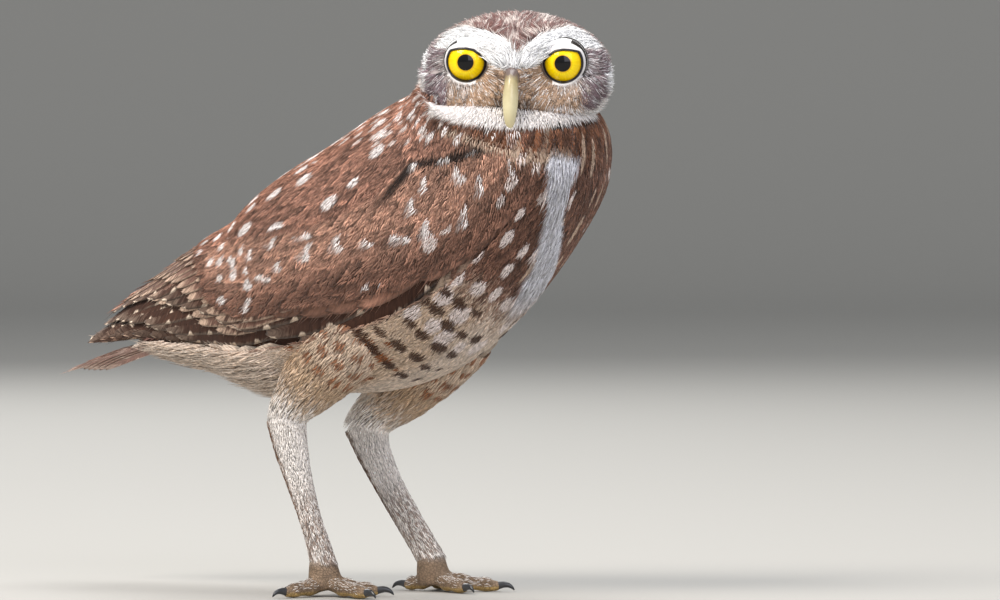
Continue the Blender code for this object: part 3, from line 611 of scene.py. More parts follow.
@dataclass(kw_only=True)
class Feathers:
    """A batch of feathers of one cut. Each kind says in place() where a spot of a feather is."""

    half: Array
    length: Array
    depth: Array       # of root and tip, (N, 2)
    patch: Array
    shape: BladeShape
    marks: Marks
    tilt: Array | float = 0.0
    seed: int = 1

    def place(self, u: Array, y: Array, sink: Array) -> Array:
        """Points at a share u of each feather's length, y metres across and sink metres down."""
        raise NotImplementedError

    def sink(self, u: Array, v: Array) -> Array:
        """Depth at u along and v across: from the root's to the tip's, with the edges lower than the shaft
        and one edge lower than the other."""
        run = self.depth[:, :1] + (self.depth[:, 1:] - self.depth[:, :1]) * u
        tilt = np.reshape(self.tilt, (-1, 1))
        return run + tilt * v * np.minimum(1, u * 3) + self.shape.crown * v * v

    def arrays(self) -> MeshArrays:
        """Lays the blades and their barbs in one go. A barb is a pyramid whose base lies on the blade,
        halfway out, and whose tip runs on and out past the edge.

        Returns:
            The joined mesh.
        """
        rng = np.random.default_rng(self.seed)
        shape, count = self.shape, len(self.half)
        half, length = self.half[:, None], self.length[:, None]
        u, v = (grid.reshape(1, -1) for grid in np.meshgrid(shape.along(), np.linspace(-1, 1, shape.cols),
                                                            indexing="ij"))
        frayed = 1 + shape.ragged * rng.uniform(-1, 0.6, (count, u.size)) * (np.abs(v) > 0.99)
        faces, inner = shape.faces()
        y, sink = half * shape.width(u) * v * frayed, self.sink(u, v)
        u, v, y = (np.broadcast_to(part, y.shape) for part in (u, v, y))
        u, v, y = (np.concatenate([part, part[:, inner]], axis=1) for part in (u, v, y))
        sink = np.concatenate([sink, sink[:, inner] + shape.thick], axis=1)
        if shape.barbs:
            side = np.repeat([1.0, -1.0], shape.barbs)[None]
            start = np.tile(np.linspace(0.3, 0.97, shape.barbs), 2)
            start = start + rng.uniform(-0.04, 0.03, (count, side.size))
            wide = shape.width(start)
            end = start + shape.sweep * rng.uniform(0.6, 1.4, start.shape)
            y0 = side * half * wide * shape.inset
            y1 = side * half * (0.86 * wide + rng.uniform(0.16, 0.36, start.shape))
            run, out = (end - start) * length, y1 - y0
            far = np.hypot(run, out)
            shift_u, shift_y = -shape.barb * out / far / length, shape.barb * run / far
            top = self.sink(start, side * shape.inset) - 0.06 * MM
            tip = self.sink(np.minimum(end, 1.1), side) - rng.uniform(0.0, 0.35, start.shape) * MM
            in_v, out_v = side * shape.inset + 0 * end, side * 0.97 + 0 * end
            corners = ((start - shift_u, y0 - shift_y, top, in_v),
                       (start + shift_u, y0 + shift_y, top, in_v),
                       (start, y0, top + 0.14 * MM, in_v), (end, y1, tip, out_v))
            barbs = (np.stack(parts, -1).reshape(count, -1) for parts in zip(*corners))
            u, y, sink, v = (np.concatenate(pair, axis=1) for pair in zip((u, y, sink, v), barbs))
        points, lay = self.place(u, y, sink), np.stack([u, v], -1)
        return joined(points, faces, lay, self.patch, self.length, self.half, self.marks, rng)


@dataclass(kw_only=True)
class BodyFeathers(Feathers):
    """Feathers on a carrier, each from a root place to a tip place, both a station and an angle."""

    carrier: Carrier
    root: Array
    tip: Array
    length: Array = field(init=False)
    patch: Array = field(init=False)
    bow: float = 0.0

    def __post_init__(self) -> None:
        """Measures the feathers and finds their roots on the unwrap."""
        along, around = self.carrier.steps(*(0.5 * (self.root + self.tip)).T)
        run, climb = (self.tip - self.root).T
        self.length = np.hypot(run * along, climb * around)
        self.patch = self.carrier.unwrap(*self.root.T)

    def place(self, u: Array, y: Array, sink: Array) -> Array:
        """The middle line runs straight from root to tip in station and angle, and y is set square to it."""
        run, climb = ((self.tip - self.root)[:, i:i + 1] for i in (0, 1))
        t, angle = self.root[:, :1] + run * u, self.root[:, 1:] + climb * u
        along, around = self.carrier.steps(t, angle)
        run, climb = run * along, climb * around
        far = np.hypot(run, climb)
        y = y + self.bow * far * 4 * u * (1 - u)
        return self.carrier.point(t - y * climb / far / along, angle + y * run / far / around, sink)


@dataclass
class Locks:
    """A batch of hair-like feathers: thin spines that leave the skin and bend over along the lie."""

    root: Array
    way: Array         # along the lie
    rise: Array        # away from the skin
    length: Array
    half: Array
    lift: Array        # slope at the root
    patch: Array
    marks: Marks
    rings: int = 3
    bend: float = 0.75
    seed: int = 1

    def arrays(self) -> MeshArrays:
        """A spine's line is root + way times u + rise times (lift u - bend lift u squared). Its section is
        a flat triangle and its last ring is a point.

        Returns:
            The joined mesh.
        """
        rng = np.random.default_rng(self.seed)
        count, rings = len(self.root), self.rings
        u = np.linspace(0, 1, rings)
        side = unit(np.cross(self.way, self.rise))
        lift = self.lift[:, None] * (u - self.bend * u ** 2)
        sway = rng.normal(0, 0.08, (count, 1)) * u ** 2
        line = self.root[:, None] + self.length[:, None, None] * (
            self.way[:, None] * u[None, :, None] + self.rise[:, None] * lift[..., None]
            + side[:, None] * sway[..., None])
        corner = np.array([0.0, 2.1, 4.2])
        thin = self.half[:, None] * (1 - 0.8 * u ** 1.6)
        points = (line[:, :, None] + side[:, None, None] * (np.cos(corner) * thin[..., None])[..., None]
                  + self.rise[:, None, None] * (np.sin(corner) * 0.5 * thin[..., None])[..., None])
        points = np.concatenate([points[:, :-1].reshape(count, -1, 3), line[:, -1:]], axis=1)
        last = 3 * (rings - 1)
        tip = [[last - 3 + j, last - 3 + (j + 1) % 3, last] for j in range(3)]
        faces = np.concatenate([grid_faces(rings - 1, 3, True), [[2, 1, 0]], tip])
        lay = np.stack([0.5 + 0.5 * np.append(np.repeat(u[:-1], 3), 1.0),
                        np.append(np.tile([0.4, 0.0, -0.4], rings - 1), 0.0)], -1)
        return joined(points, faces, lay[None], self.patch, self.length, self.half, self.marks, rng)


# Finishes


@dataclass
class NodeBench:
    """A new material, its nodes and the one way that they are added."""

    name: str

    def __post_init__(self) -> None:
        """Makes the material with its Principled shader."""
        self.material = bpy.data.materials.new(self.name)
        self.material.use_nodes = True
        self.tree = self.material.node_tree
        self.shader = self.tree.nodes["Principled BSDF"]

    def add(self, kind: str, *inputs: Any, out: int | str = 0, at: dict[str, Any] | None = None,
            **settings: Any) -> bpy.types.NodeSocket:
        """Adds a node with its settings and links.

        Args:
            kind: its type name without ShaderNode in front, and its operation after a dot, if it has one.
            inputs: for each input in order, a socket to link, a value to set, or None to leave it.
            out: the output to give back.
            at: inputs by name.
            settings: its own properties.

        Returns:
            The output socket.
        """
        kind, *operation = kind.split(".")
        made = self.tree.nodes.new("ShaderNode" + kind)
        if operation:
            made.operation = operation[0]
        for key, value in settings.items():
            setattr(made, key, value)
        for key, value in [*enumerate(inputs), *(at or {}).items()]:
            if isinstance(value, bpy.types.NodeSocket):
                self.tree.links.new(value, made.inputs[key])
            elif value is not None:
                made.inputs[key].default_value = value
        return made.outputs[out]

    def ramp(self, along: bpy.types.NodeSocket, stops: Any) -> bpy.types.NodeSocket:
        """Colours by place on a ramp.

        Args:
            along: the place.
            stops: places from 0 to 1, each with its hex colour.

        Returns:
            The colour.
        """
        colour = self.add("ValToRGB", along)
        ramp = colour.node.color_ramp
        while len(ramp.elements) < len(stops):
            ramp.elements.new(0.5)
        for element, (place, code) in zip(ramp.elements, stops):
            element.position, element.color = place, (*hexed(code), 1)
        return colour

    def finish(self, colour: Any, bump: Any = None, strength: float = 0.3,
               **sockets: float) -> bpy.types.Material:
        """Links the colour and the bump, and sets the shader's plain sockets.

        Args:
            colour: a socket, or a linear colour.
            bump: a height socket.
            strength: of the bump, 0.3 mm deep at 1.
            sockets: values by socket name, with _ for a space.

        Returns:
            The material.
        """
        if isinstance(colour, bpy.types.NodeSocket):
            self.tree.links.new(colour, self.shader.inputs["Base Color"])
        else:
            self.shader.inputs["Base Color"].default_value = (*colour, 1)
        if bump is not None:
            normal = self.add("Bump", at={"Height": bump, "Strength": strength, "Distance": 0.0003})
            self.tree.links.new(normal, self.shader.inputs["Normal"])
        for key, value in sockets.items():
            self.shader.inputs[key.replace("_", " ")].default_value = value
        return self.material


@dataclass(frozen=True)
class PlumageFinish:
    """Keratin feathers: matt, soft at grazing angles, with barbs that run out from the shaft.

    Real barbs are about 0.3 mm apart. They are drawn 0.6 mm apart here, so that they show.
    """

    name: str = "feather_keratin"
    barb_gap: float = 0.6              # millimetres
    barb_tone: float = 1.3             # how much the barbs vary the colour
    root_shade: float = 0.3            # painted shade: how dark a feather is where others cover it

    def material(self) -> bpy.types.Material:
        """Draws bars and a pale edge along each feather's own length, then its barbs.

        Returns:
            The material.
        """
        bench = NodeBench(self.name)
        add = bench.add
        part = {}
        for key in ("lay", "span", "strength"):
            vector = add("Attribute", out="Vector", attribute_name=key)
            part[key] = [add("SeparateXYZ", vector, out=i) for i in range(3)]
        u, v, own = part["lay"]
        x_mm, y_mm, long_mm = part["span"]
        barred, edged, gap = part["strength"]
        across, off = add("Math.ABSOLUTE", v), add("Math.ABSOLUTE", y_mm)
        seed = add("Math.MULTIPLY", own, 57.0)
        # Barbs sweep back from the shaft, so they are stretched along x minus 0.8 times y.
        sweep = add("Math.MULTIPLY_ADD", off, -0.8, x_mm)
        fine = add("CombineXYZ", add("Math.DIVIDE", sweep, self.barb_gap), add("Math.MULTIPLY", y_mm, 0.15),
                   seed)
        barbs = add("Math.SUBTRACT", add("TexNoise", fine, None, 1.0, 2.0), 0.5)
        # Broader streaks where barbs cling together or part.
        broad = add("CombineXYZ", add("Math.MULTIPLY", sweep, 0.6), add("Math.MULTIPLY", y_mm, 0.25), seed)
        wobble = add("Math.SUBTRACT", add("TexNoise", broad, None, 1.0, 1.0), 0.5)
        fringe = add("Math.ADD", barbs, wobble)
        ease = {"interpolation_type": "SMOOTHSTEP", "clamp": True}
        # Bars: a wave counted from the tip, bent back towards the edges.
        wave = add("Math.ADD", add("Math.SUBTRACT", long_mm, x_mm),
                   add("Math.MULTIPLY_ADD", off, 0.5, add("Math.MULTIPLY", wobble, 2.0)))
        wave = add("Math.DIVIDE", add("Math.MULTIPLY", add("Math.SUBTRACT", wave, 4.0), 6.283), gap)
        # Bars widen towards the feather's edge, which makes them notches.
        wave = add("Math.ADD", add("Math.COSINE", wave), add("Math.MULTIPLY_ADD", across, 1.3, -1.1))
        wave = add("Math.MULTIPLY_ADD", fringe, 0.5, wave)
        bars = add("Math.MULTIPLY", add("MapRange", wave, 0.55, 0.85, 0.0, 1.0, **ease), barred)
        # The pale edge and tip.
        rim = add("Math.MAXIMUM", across, add("Math.MULTIPLY_ADD", u, 1.9, -0.95))
        rim = add("Math.MULTIPLY_ADD", fringe, 0.3, rim)
        edge = add("Math.MULTIPLY", add("MapRange", rim, 0.66, 0.9, 0.0, 1.0, **ease), edged)
        shown = add("Math.MAXIMUM", bars, edge, use_clamp=True)
        base, mark = (add("Attribute", out="Color", attribute_name=key) for key in ("base", "mark"))
        colour = add("Mix", shown, None, None, None, None, None, base, mark, out=2, data_type="RGBA")
        # Barbs vary the tone, and the covered root is darkened with painted shade.
        tone = add("Math.MULTIPLY", add("Math.MULTIPLY_ADD", barbs, self.barb_tone, 1.0),
                   add("Math.MULTIPLY_ADD", wobble, 0.9, 1.0))
        cover = add("MapRange", u, 0.1, 0.7, 1.0 - self.root_shade, 1.0, **ease)
        tone = add("Math.MAXIMUM", add("Math.MULTIPLY", tone, cover), 0.1)
        colour = add("VectorMath.SCALE", colour, at={"Scale": tone})
        return bench.finish(colour, barbs, 0.6, Roughness=0.8, Specular_IOR_Level=0.2, Sheen_Weight=0.08,
                            Sheen_Roughness=0.5)


@dataclass(frozen=True)
class SkinFinish:
    """Bare skin and the down next to it: the zone's colour, with small scutes."""

    name: str = "skin_and_down"
    scute: float = 0.9                 # millimetres from scute to scute

    def material(self) -> bpy.types.Material:
        """The colour comes from the vertices, varied by noise, darker in the cracks of a cellular bump."""
        bench = NodeBench(self.name)
        add = bench.add
        place = add("TexCoord", out="Object")
        cells = add("TexVoronoi", place, None, 1000.0 / self.scute, feature="DISTANCE_TO_EDGE")
        noise = add("TexNoise", place, None, 420.0, 3.0)
        crack = add("MapRange", cells, 0.0, 0.14, 0.0, 1.0, interpolation_type="SMOOTHSTEP", clamp=True)
        tone = add("Math.MULTIPLY", add("Math.MULTIPLY_ADD", noise, 1.0, 0.5),
                   add("Math.MULTIPLY_ADD", crack, 0.45, 0.55))
        base = add("Attribute", out="Color", attribute_name="base")
        colour = add("VectorMath.SCALE", base, at={"Scale": tone})
        return bench.finish(colour, crack, 0.7, Roughness=0.6)


@dataclass(frozen=True)
class HornFinish:
    """Keratin of bill, claw or lid, whose colour changes along its growth, smooth and satin."""

    name: str
    stops: tuple[tuple[float, str], ...]
    roughness: float = 0.32
    mottled: float = 0.12
    coat: float = 0.3

    def material(self) -> bpy.types.Material:
        """A ramp from root to tip along the piece's own length, held in its lay attribute, with mottling."""
        bench = NodeBench(self.name)
        add = bench.add
        along = add("SeparateXYZ", add("Attribute", out="Vector", attribute_name="lay"))
        noise = add("TexNoise", add("TexCoord", out="Object"), None, 650.0, 4.0)
        along = add("Math.MULTIPLY_ADD", add("Math.SUBTRACT", noise, 0.5), self.mottled, along)
        return bench.finish(bench.ramp(along, self.stops), noise, 0.1, Roughness=self.roughness,
                            Coat_Weight=self.coat, Coat_Roughness=0.15)


# Bare rim of the eyelids, which turns to the short white feathers round it
LID_SKIN = HornFinish("lid_skin", ((0.0, "#0B0A0B"), (0.22, "#14100E"), (0.3, "#E4E0DE"), (1.0, "#F2F0EF")),
                      0.45, 0.04, 0.0)
# Horn of the bill: grey at the root, where the cere is, then a pale greenish yellow, darker at the tip
BILL_KERATIN = HornFinish("bill_keratin", ((0.0, "#4E4242"), (0.26, "#6A5A54"), (0.36, "#B5A77C"),
                                           (0.6, "#DCD2A8"), (0.85, "#CFC294"), (1.0, "#8E8358")), 0.34)
# Horn of the claws, dark grey to nearly black
CLAW_KERATIN = HornFinish("claw_keratin", ((0.0, "#3A3A3C"), (1.0, "#0E1216")), 0.28)


@dataclass(frozen=True)
class EyeFinish:
    """A bright eye: black pupil, lemon yellow iris with a darker rim, under a wet clear coat."""

    name: str = "wet_eye"
    iris: float = 6.8 * MM
    # Shares of the iris's radius: the pupil ends near 0.4, and the rim darkens from 0.8
    stops: tuple[tuple[float, str], ...] = (
        (0.0, "#020203"), (0.385, "#020203"), (0.41, "#E8B400"), (0.5, "#FFE100"), (0.8, "#F7CE00"),
        (0.93, "#D9A000"), (1.0, "#1A1004"))

    def material(self) -> bpy.types.Material:
        """Rings by distance from the line of sight, which the lay attribute holds in shares of the iris,
        crossed by faint rays."""
        bench = NodeBench(self.name)
        add = bench.add
        lay = add("Attribute", out="Vector", attribute_name="lay")
        radius, turn = add("SeparateXYZ", lay), add("SeparateXYZ", lay, out=1)
        ray = add("CombineXYZ", add("Math.MULTIPLY", add("Math.COSINE", turn), 8.0),
                  add("Math.MULTIPLY", add("Math.SINE", turn), 8.0), radius)
        rays = add("TexNoise", ray, None, 1.0, 3.0)
        shade = add("Math.MULTIPLY_ADD", rays, 0.5, 0.78)
        colour = add("VectorMath.SCALE", bench.ramp(radius, self.stops), at={"Scale": shade})
        return bench.finish(colour, Roughness=0.4, Specular_IOR_Level=0.1, Coat_Weight=0.8,
                            Coat_Roughness=0.02, Coat_IOR=1.376)


class Tone(Enum):
    """Colours of the plumage and bare parts."""

    MANTLE = "#B98B76"
    MANTLE_DARK = "#67473A"
    WING = "#C39882"
    WING_DARK = "#7A5646"
    # Painted shadow along the scapulars' lower edge
    CREASE = "#2A1C16"
    WING_SPOT = "#FBF4F1"
    FLIGHT = "#432B20"
    FLIGHT_BAR = "#EBD6C0"
    TERTIAL = "#6A4E42"
    TERTIAL_EDGE = "#C9AE98"
    TAIL = "#9A7468"
    TAIL_BAR = "#E4CFC0"
    BREAST = "#84604E"
    BREAST_SPOT = "#EADCD6"
    STRIP = "#D8D8DE"
    BELLY = "#D9C2AC"
    BAR_DARK = "#452A1A"
    BAR_RUFOUS = "#8E4F1E"
    VENT = "#E6D6C8"
    THIGH = "#C9AC8E"
    CROWN = "#85605A"
    CROWN_STREAK = "#E0D2CB"
    BROW = "#FFFFFF"
    FACE = "#BE9F84"
    BILL_SHADOW = "#40322C"
    FACE_GREY = "#C4BBB6"
    EAR = "#8B777C"
    CHIN = "#FBF6F3"
    COLLAR = "#8A5C40"
    SHANK = "#F8F2EC"
    SHANK_REAR = "#80604A"
    TOE = "#8A735C"
    TOE_PAD = "#B8985C"

    @property
    def linear(self) -> Array:
        """Linear red, green and blue."""
        return hexed(self.value)

    def rows(self, count: int) -> Array:
        """The colour once for each of count feathers."""
        return np.tile(self.linear, (count, 1))


# Where the plumage changes


WING_STATIONS = (0, 1, 2.5, 4, 5.2, 6.2, 7.2, 8, 9, 9.9)
# Degrees from the ridge of the back, by station: the edges of the folded wing, its coverts and scapulars
WING_LOW = Curve(WING_STATIONS, (104, 110, 121, 124, 123, 124, 129, 135, 139, 143))
WING_TOP = Curve(WING_STATIONS, (40, 22, 10, 8, 9, 14, 28, 45, 62, 84))
COVERT_LOW = Curve((3.8, 4.0, 4.3, 4.9, 6.0, 6.9, 7.7, 8.5, 9.0, 10.0),
                   (20, 52, 84, 101, 108, 115, 124, 132, 136, 142))
SCAPULAR_LOW = Curve((4.6, 5.6, 6.5, 7.5, 8.1, 8.8, 9.3, 9.7, 10.0), (48, 62, 76, 83, 85, 80, 93, 103, 116))
# The lower edge of the white chin: stations by degrees round the neck
CHIN_LINE = Curve((50, 60, 68, 85, 98, 128, 154, 189, 215, 250),
                  (11.3, 10.1, 9.75, 9.95, 10.1, 10.26, 10.36, 10.45, 10.75, 11.5))
# The breast's white strip by station: degrees round the body to its middle, and its half width in degrees
STRIP_MIDDLE = Curve((8.2, 8.7, 9.0, 9.3, 9.6, 9.9, 10.2), (181, 178, 169, 161, 155, 152, 156))
STRIP_HALF = Curve((7.8, 8.5, 9.0, 9.4, 9.7, 9.95), (5, 12, 9, 6, 7, 10))
# Heights on the face in millimetres, by millimetres from its middle: the lower edges of crown and brows,
# and the upper edge of the white below
CROWN_EDGE = Curve((0, 2.5, 4.5, 8, 12, 16, 20, 23, 26, 29),
                   (9.3, 10.4, 12.0, 13.8, 14.9, 15.4, 14.8, 13.0, 9.8, 6.8))
BROW_EDGE = Curve((0, 4.5, 7, 10, 12.5, 16.5, 20.7, 25, 29), (2.6, 2.8, 3.6, 5.2, 7.2, 9.2, 8.8, 7.9, 7.0))
WHITE_EDGE = Curve((0, 3.5, 6, 10, 14, 19, 26, 29.5, 31.5, 34),
                   (-15.5, -14.6, -12.5, -11.6, -10.6, -11.4, -11.2, -7.4, -3.6, 0.0))
STATION_MM = 19.0      # about how far one station is from the next, for the rows of feathers


def fold(turned: Array) -> Array:
    """Degrees from the ridge of the back, the same on both sides, from degrees all the way round."""
    return np.minimum(turned, 360 - turned)


def sides(angle: Array) -> Array:
    """Degrees from the ridge of the back, the same on both sides, from radians."""
    return fold(np.degrees(angle) % 360)


def in_coverts(t: Array, side: Array) -> Array:
    """Whether places lie on the coverts, between the scapulars and the covert's lower edge."""
    return (t > 3.8) & (side < COVERT_LOW(t))


def in_scapulars(t: Array, side: Array) -> Array:
    """Whether places lie on the scapulars."""
    return (t > 4.6) & (t < 10.0) & (side < SCAPULAR_LOW(t))


def outside_wing(t: Array, side: Array) -> Array:
    """Whether places lie below the folded wing."""
    return side > WING_LOW(t)


@dataclass(frozen=True)
class SpotField:
    """Spots in rows, about one for each feather: how far apart, how large, and their colour."""

    gap: tuple[float, float]           # millimetres from row to row and within a row
    half: tuple[float, float]          # half length along the lie and half width, in millimetres
    tone: Tone
    chance: float
    hollow: float                      # 1 for a crescent that opens towards the tail
    inside: Callable[[Array, Array], Array]


SPOT_FIELDS = (
    # Coverts: crescents, then plain spots towards their tips
    SpotField((8.6, 8.2), (2.0, 2.2), Tone.WING_SPOT, 0.65, 0.7,
              lambda t, side: in_coverts(t, side + 3) & ~in_scapulars(t, side - 2) & (t > 5.0)),
    SpotField((6.6, 6.6), (1.7, 1.6), Tone.WING_SPOT, 0.6, 0.0,
              lambda t, side: in_coverts(t, side + 3) & ~in_scapulars(t, side) & (t < 5.4)),
    # Scapulars, the shoulder in front of them, and the back between the wings
    SpotField((11.0, 8.0), (2.8, 2.1), Tone.WING_SPOT, 0.62, 0.0,
              lambda t, side: in_scapulars(t, side + 3) & (t < 9.4)),
    SpotField((6.5, 5.2), (2.6, 1.2), Tone.WING_SPOT, 0.6, 0.0,
              lambda t, side: (t > 9.2) & (side < SCAPULAR_LOW(t) - 4)),
    SpotField((7.0, 5.4), (2.2, 1.0), Tone.CROWN_STREAK, 0.7, 0.0,
              lambda t, side: (t > 3.2) & (side < WING_TOP(t) + 12)),
    # Breast, its lower edge, and the pale streaks below the chin
    SpotField((6.4, 6.6), (2.1, 1.7), Tone.BREAST_SPOT, 0.7, 0.0,
              lambda t, side: (t > 8.1) & (t < 10.0) & (side < 166) & (side > COVERT_LOW(t) - 16)),
    SpotField((7.6, 7.6), (2.5, 2.9), Tone.BREAST_SPOT, 0.8, 0.0,
              lambda t, side: (t > 7.2) & (t < 8.4) & outside_wing(t, side)),
    SpotField((9.0, 4.6), (3.0, 0.9), Tone.TERTIAL_EDGE, 0.7, 0.0,
              lambda t, side: (t > 8.5) & (side > 164)),
    # Bars of the belly, rufous towards the vent
    SpotField((6.4, 7.8), (1.35, 3.4), Tone.BAR_RUFOUS, 0.9, 0.0,
              lambda t, side: (t > 5.2) & (t < 6.8) & (side < 156) & outside_wing(t, side)),
    SpotField((6.4, 7.4), (1.35, 3.1), Tone.BAR_DARK, 0.85, 0.0,
              lambda t, side: (t > 6.5) & (t < 8.1) & (side < 172) & outside_wing(t, side)),
    # Nape
    SpotField((5.0, 3.0), (1.7, 0.55), Tone.CROWN_STREAK, 0.75, 0.0,
              lambda t, side: (t > 9.7) & (side < 66)),
)


class Pattern:
    """The plumage's colours by place, which the skin and every feather share."""

    chunk = 20000      # how many points of the skin are placed at a time

    def __init__(self, body: BodyForm, head: HeadForm) -> None:
        """Keeps the two forms that places are told on."""
        self.body = body
        self.head = head
        self.line = body.middle(np.linspace(0, 12, 97))

    def locate(self, points: Array) -> tuple[Array, Array]:
        """Nearest station and the angle round the body of any points.

        Args:
            points: places in the bird's frame, (N, 3).

        Returns:
            Stations and signed angles.
        """
        gap = ((points[:, None, [0, 2]] - self.line[None][..., [0, 2]]) ** 2).sum(-1)
        t = np.linspace(0, 12, 97)[gap.argmin(1)]
        ahead, offset = self.body.ahead(t), points - self.body.middle(t)
        up = -ahead[:, 1] * offset[:, 0] + ahead[:, 0] * offset[:, 2]
        return t, np.arctan2(-offset[:, 1], up)

    def strip(self, t: Array, angle: Array) -> Array:
        """How far a place lies in the white strip down the middle of the breast."""
        off = np.abs(np.degrees(angle) % 360 - STRIP_MIDDLE(t))
        ends = soft_step(t, 7.7, 8.5), soft_step(10.12 - t, 0, 0.08)
        return soft_step(STRIP_HALF(t) + 1.5 - off, 0, 3) * ends[0] * ends[1]

    def tone(self, t: Array, angle: Array, rng: np.random.Generator, spotted: bool = True) -> Array:
        """Colours of the body by place, with variety.

        Args:
            t: stations.
            angle: signed angles.
            rng: source of the variety.
            spotted: whether the spots and bars are drawn.

        Returns:
            Linear colours.
        """
        side, count = sides(angle), len(t)
        shade, other = rng.uniform(0, 1, (2, count))
        turned = np.degrees(angle) % 360
        under = soft_step(side - WING_LOW(t), -2, 2)
        chest = soft_step(t + 0.5 * (shade - 0.5), 7.6, 8.4)
        chin = soft_step(t - CHIN_LINE(turned), -0.04, 0.04)
        plain = np.maximum(soft_step(side, 154, 166) * (1 - chest), soft_step(5.4 - t + 0.5 * other, 0, 0.7))
        x, own = self.cells(t, angle, (9.5, 8.2), 0.5)[[0, 2]]
        # Wing coverts, darker along their lower edge, partly their own darker brown and partly painted
        # shade, and the scapulars over them
        base = blend(Tone.WING.rows(count), Tone.WING_DARK.linear, 0.5 * shade ** 1.5)
        low = soft_step(side - COVERT_LOW(t), -24, -5)
        base = blend(base, Tone.WING_DARK.linear, 0.8 * low)
        upper = soft_step(SCAPULAR_LOW(t) - side, -1, 2) * (t < 10.0)
        base = blend(base, blend(Tone.MANTLE.rows(count), Tone.MANTLE_DARK.linear, 0.7 * shade), upper)
        # The dark line below the scapulars is painted shadow, laid on after each feather's painted highlight
        # and shadow
        scapular_shadow = np.exp(-((side - 3.0 - SCAPULAR_LOW(t)) / 3.0) ** 4)
        scapular_shadow = scapular_shadow * soft_step(t, 7.4, 8.4) * soft_step(9.95 - t, 0, 0.2)
        # Breast, belly and vent, then the collar under the chin
        breast = blend(Tone.BREAST.rows(count), Tone.MANTLE_DARK.linear, shade)
        base = blend(base, breast, under * chest)
        belly = blend(Tone.BELLY.rows(count), Tone.THIGH.linear, 0.7 * shade)
        base = blend(base, blend(belly, Tone.VENT.linear, 0.7 * plain), under * (1 - chest))
        collar = soft_step(t - CHIN_LINE(turned), -0.5, -0.2) * soft_step(side, 66, 80)
        base = blend(base, blend(Tone.COLLAR.rows(count), Tone.MANTLE_DARK.linear, shade), collar)
        # Each feather has its own tone, with a painted highlight at its tip and painted shadow where the
        # next one covers it
        relief = (0.7 + 0.6 * own) * (1 + 0.45 * np.exp(-(x / 0.22) ** 2) - 0.6 * soft_step(x, 0.6, 1.0))
        base = base * (1 + (relief - 1) * (1 - 0.7 * under * (1 - chest)))[:, None]
        # Painted shadow below the scapulars
        base = blend(base, Tone.CREASE.linear, scapular_shadow)
        # The buff line across the collar
        line = np.exp(-((t - CHIN_LINE(turned) + 0.3) / 0.07) ** 2)
        line = 0.8 * line * soft_step(side, 80, 92) * soft_step(160 - side, 0, 6)
        base = blend(base, Tone.BELLY.linear, line)
        if spotted:
            base = self.spot(base, t, angle)
        base = blend(base, Tone.STRIP.linear, self.strip(t, angle))
        chin = chin * soft_step(turned, 50, 64) * soft_step(250 - turned, 0, 14)
        return blend(base, Tone.CHIN.linear, chin)

    def cells(self, t: Array, angle: Array, gap: tuple[float, float], curve: float) -> Array:
        """Which feather of even rows each place lies on. Rows are counted by the station times its length
        over the gap, feathers within a row by the angle times the body's half width over the other gap.

        Args:
            t: stations.
            angle: signed angles.
            gap: millimetres from row to row and from feather to feather.
            curve: how far a feather's tip reaches past its corners, as a share of the gap.

        Returns:
            The share of the way from the feather's tip to the next one's, the share across, and a random
            number of its own.
        """
        row = t * STATION_MM / gap[0]
        for bend in (curve, 0.0):
            reach = smooth_rows(self.body.rows, (np.floor(row) + 0.5) * gap[0] / STATION_MM)[..., 4] / MM
            lane = angle * reach / gap[1] + 0.5 * (np.floor(row) % 2)
            row = row - bend * np.cos(2 * np.pi * lane)
        own = np.sin(np.floor(row) * 12.9898 + np.floor(lane) * 78.233 + gap[0]) * 43758.5453
        return np.stack([row % 1, lane % 1, own % 1])

    def spot(self, base: Array, t: Array, angle: Array) -> Array:
        """Lays the spots over the base colours. A spot covers places whose distance from its middle, in
        shares of its half length and half width, is below one, and a hollow one leaves out those that
        lie below one from a middle shifted towards the tail.

        Args:
            base: linear colours.
            t: stations.
            angle: signed angles.

        Returns:
            Linear colours.
        """
        side = sides(angle)
        for kind in SPOT_FIELDS:
            row, lane, own = self.cells(t, angle, kind.gap, 0.3 * kind.hollow)
            size = 0.75 + 0.5 * (own * 7 % 1)
            x = (row - 0.3 - 0.3 * own) * kind.gap[0] / kind.half[0] / size
            y = (lane - 0.5 + 0.4 * (own * 29 % 1 - 0.5)) * kind.gap[1] / kind.half[1] / size
            share = soft_step(1.15 - np.hypot(x, y), 0, 0.3)
            share = share * (1 - kind.hollow * soft_step(1.1 - np.hypot(x + 0.9, y), 0, 0.3))
            share = share * (own * 13 % 1 < kind.chance) * kind.inside(t, side)
            base = blend(base, kind.tone.linear, 0.95 * share)
        return base

    def head_zones(self, points: Array) -> dict[str, Array]:
        """How far places of the head lie in each of its marks. Heights run along curves over the distance
        from the middle of the face, which are the borders of the crown, the brows and the white below.

        Args:
            points: places in the head's frame.

        Returns:
            Shares from 0 to 1 by name.
        """
        x, z = points[..., 0] / MM, points[..., 2] / MM
        out, up = self.head.from_eye(points)
        y = out + self.head.eye[1] / MM
        face = soft_step(x, -1.0, 4.0)
        # The crown comes to a point between the brows, off the middle by up to 2.2 mm
        tip = np.abs(points[..., 1] / MM - self.head.aside / MM - 2.2 * np.exp(-(y / 7) ** 2))
        over = CROWN_EDGE(tip)
        brow = soft_step(z - BROW_EDGE(y), -0.5, 0.5) * soft_step(over - z, -0.5, 0.6)
        brow = brow * soft_step(27.6 - y, 0, 1.5) * face
        white = soft_step(WHITE_EDGE(y) - z, -0.6, 0.6) * soft_step(x, -9.0, -3.0)
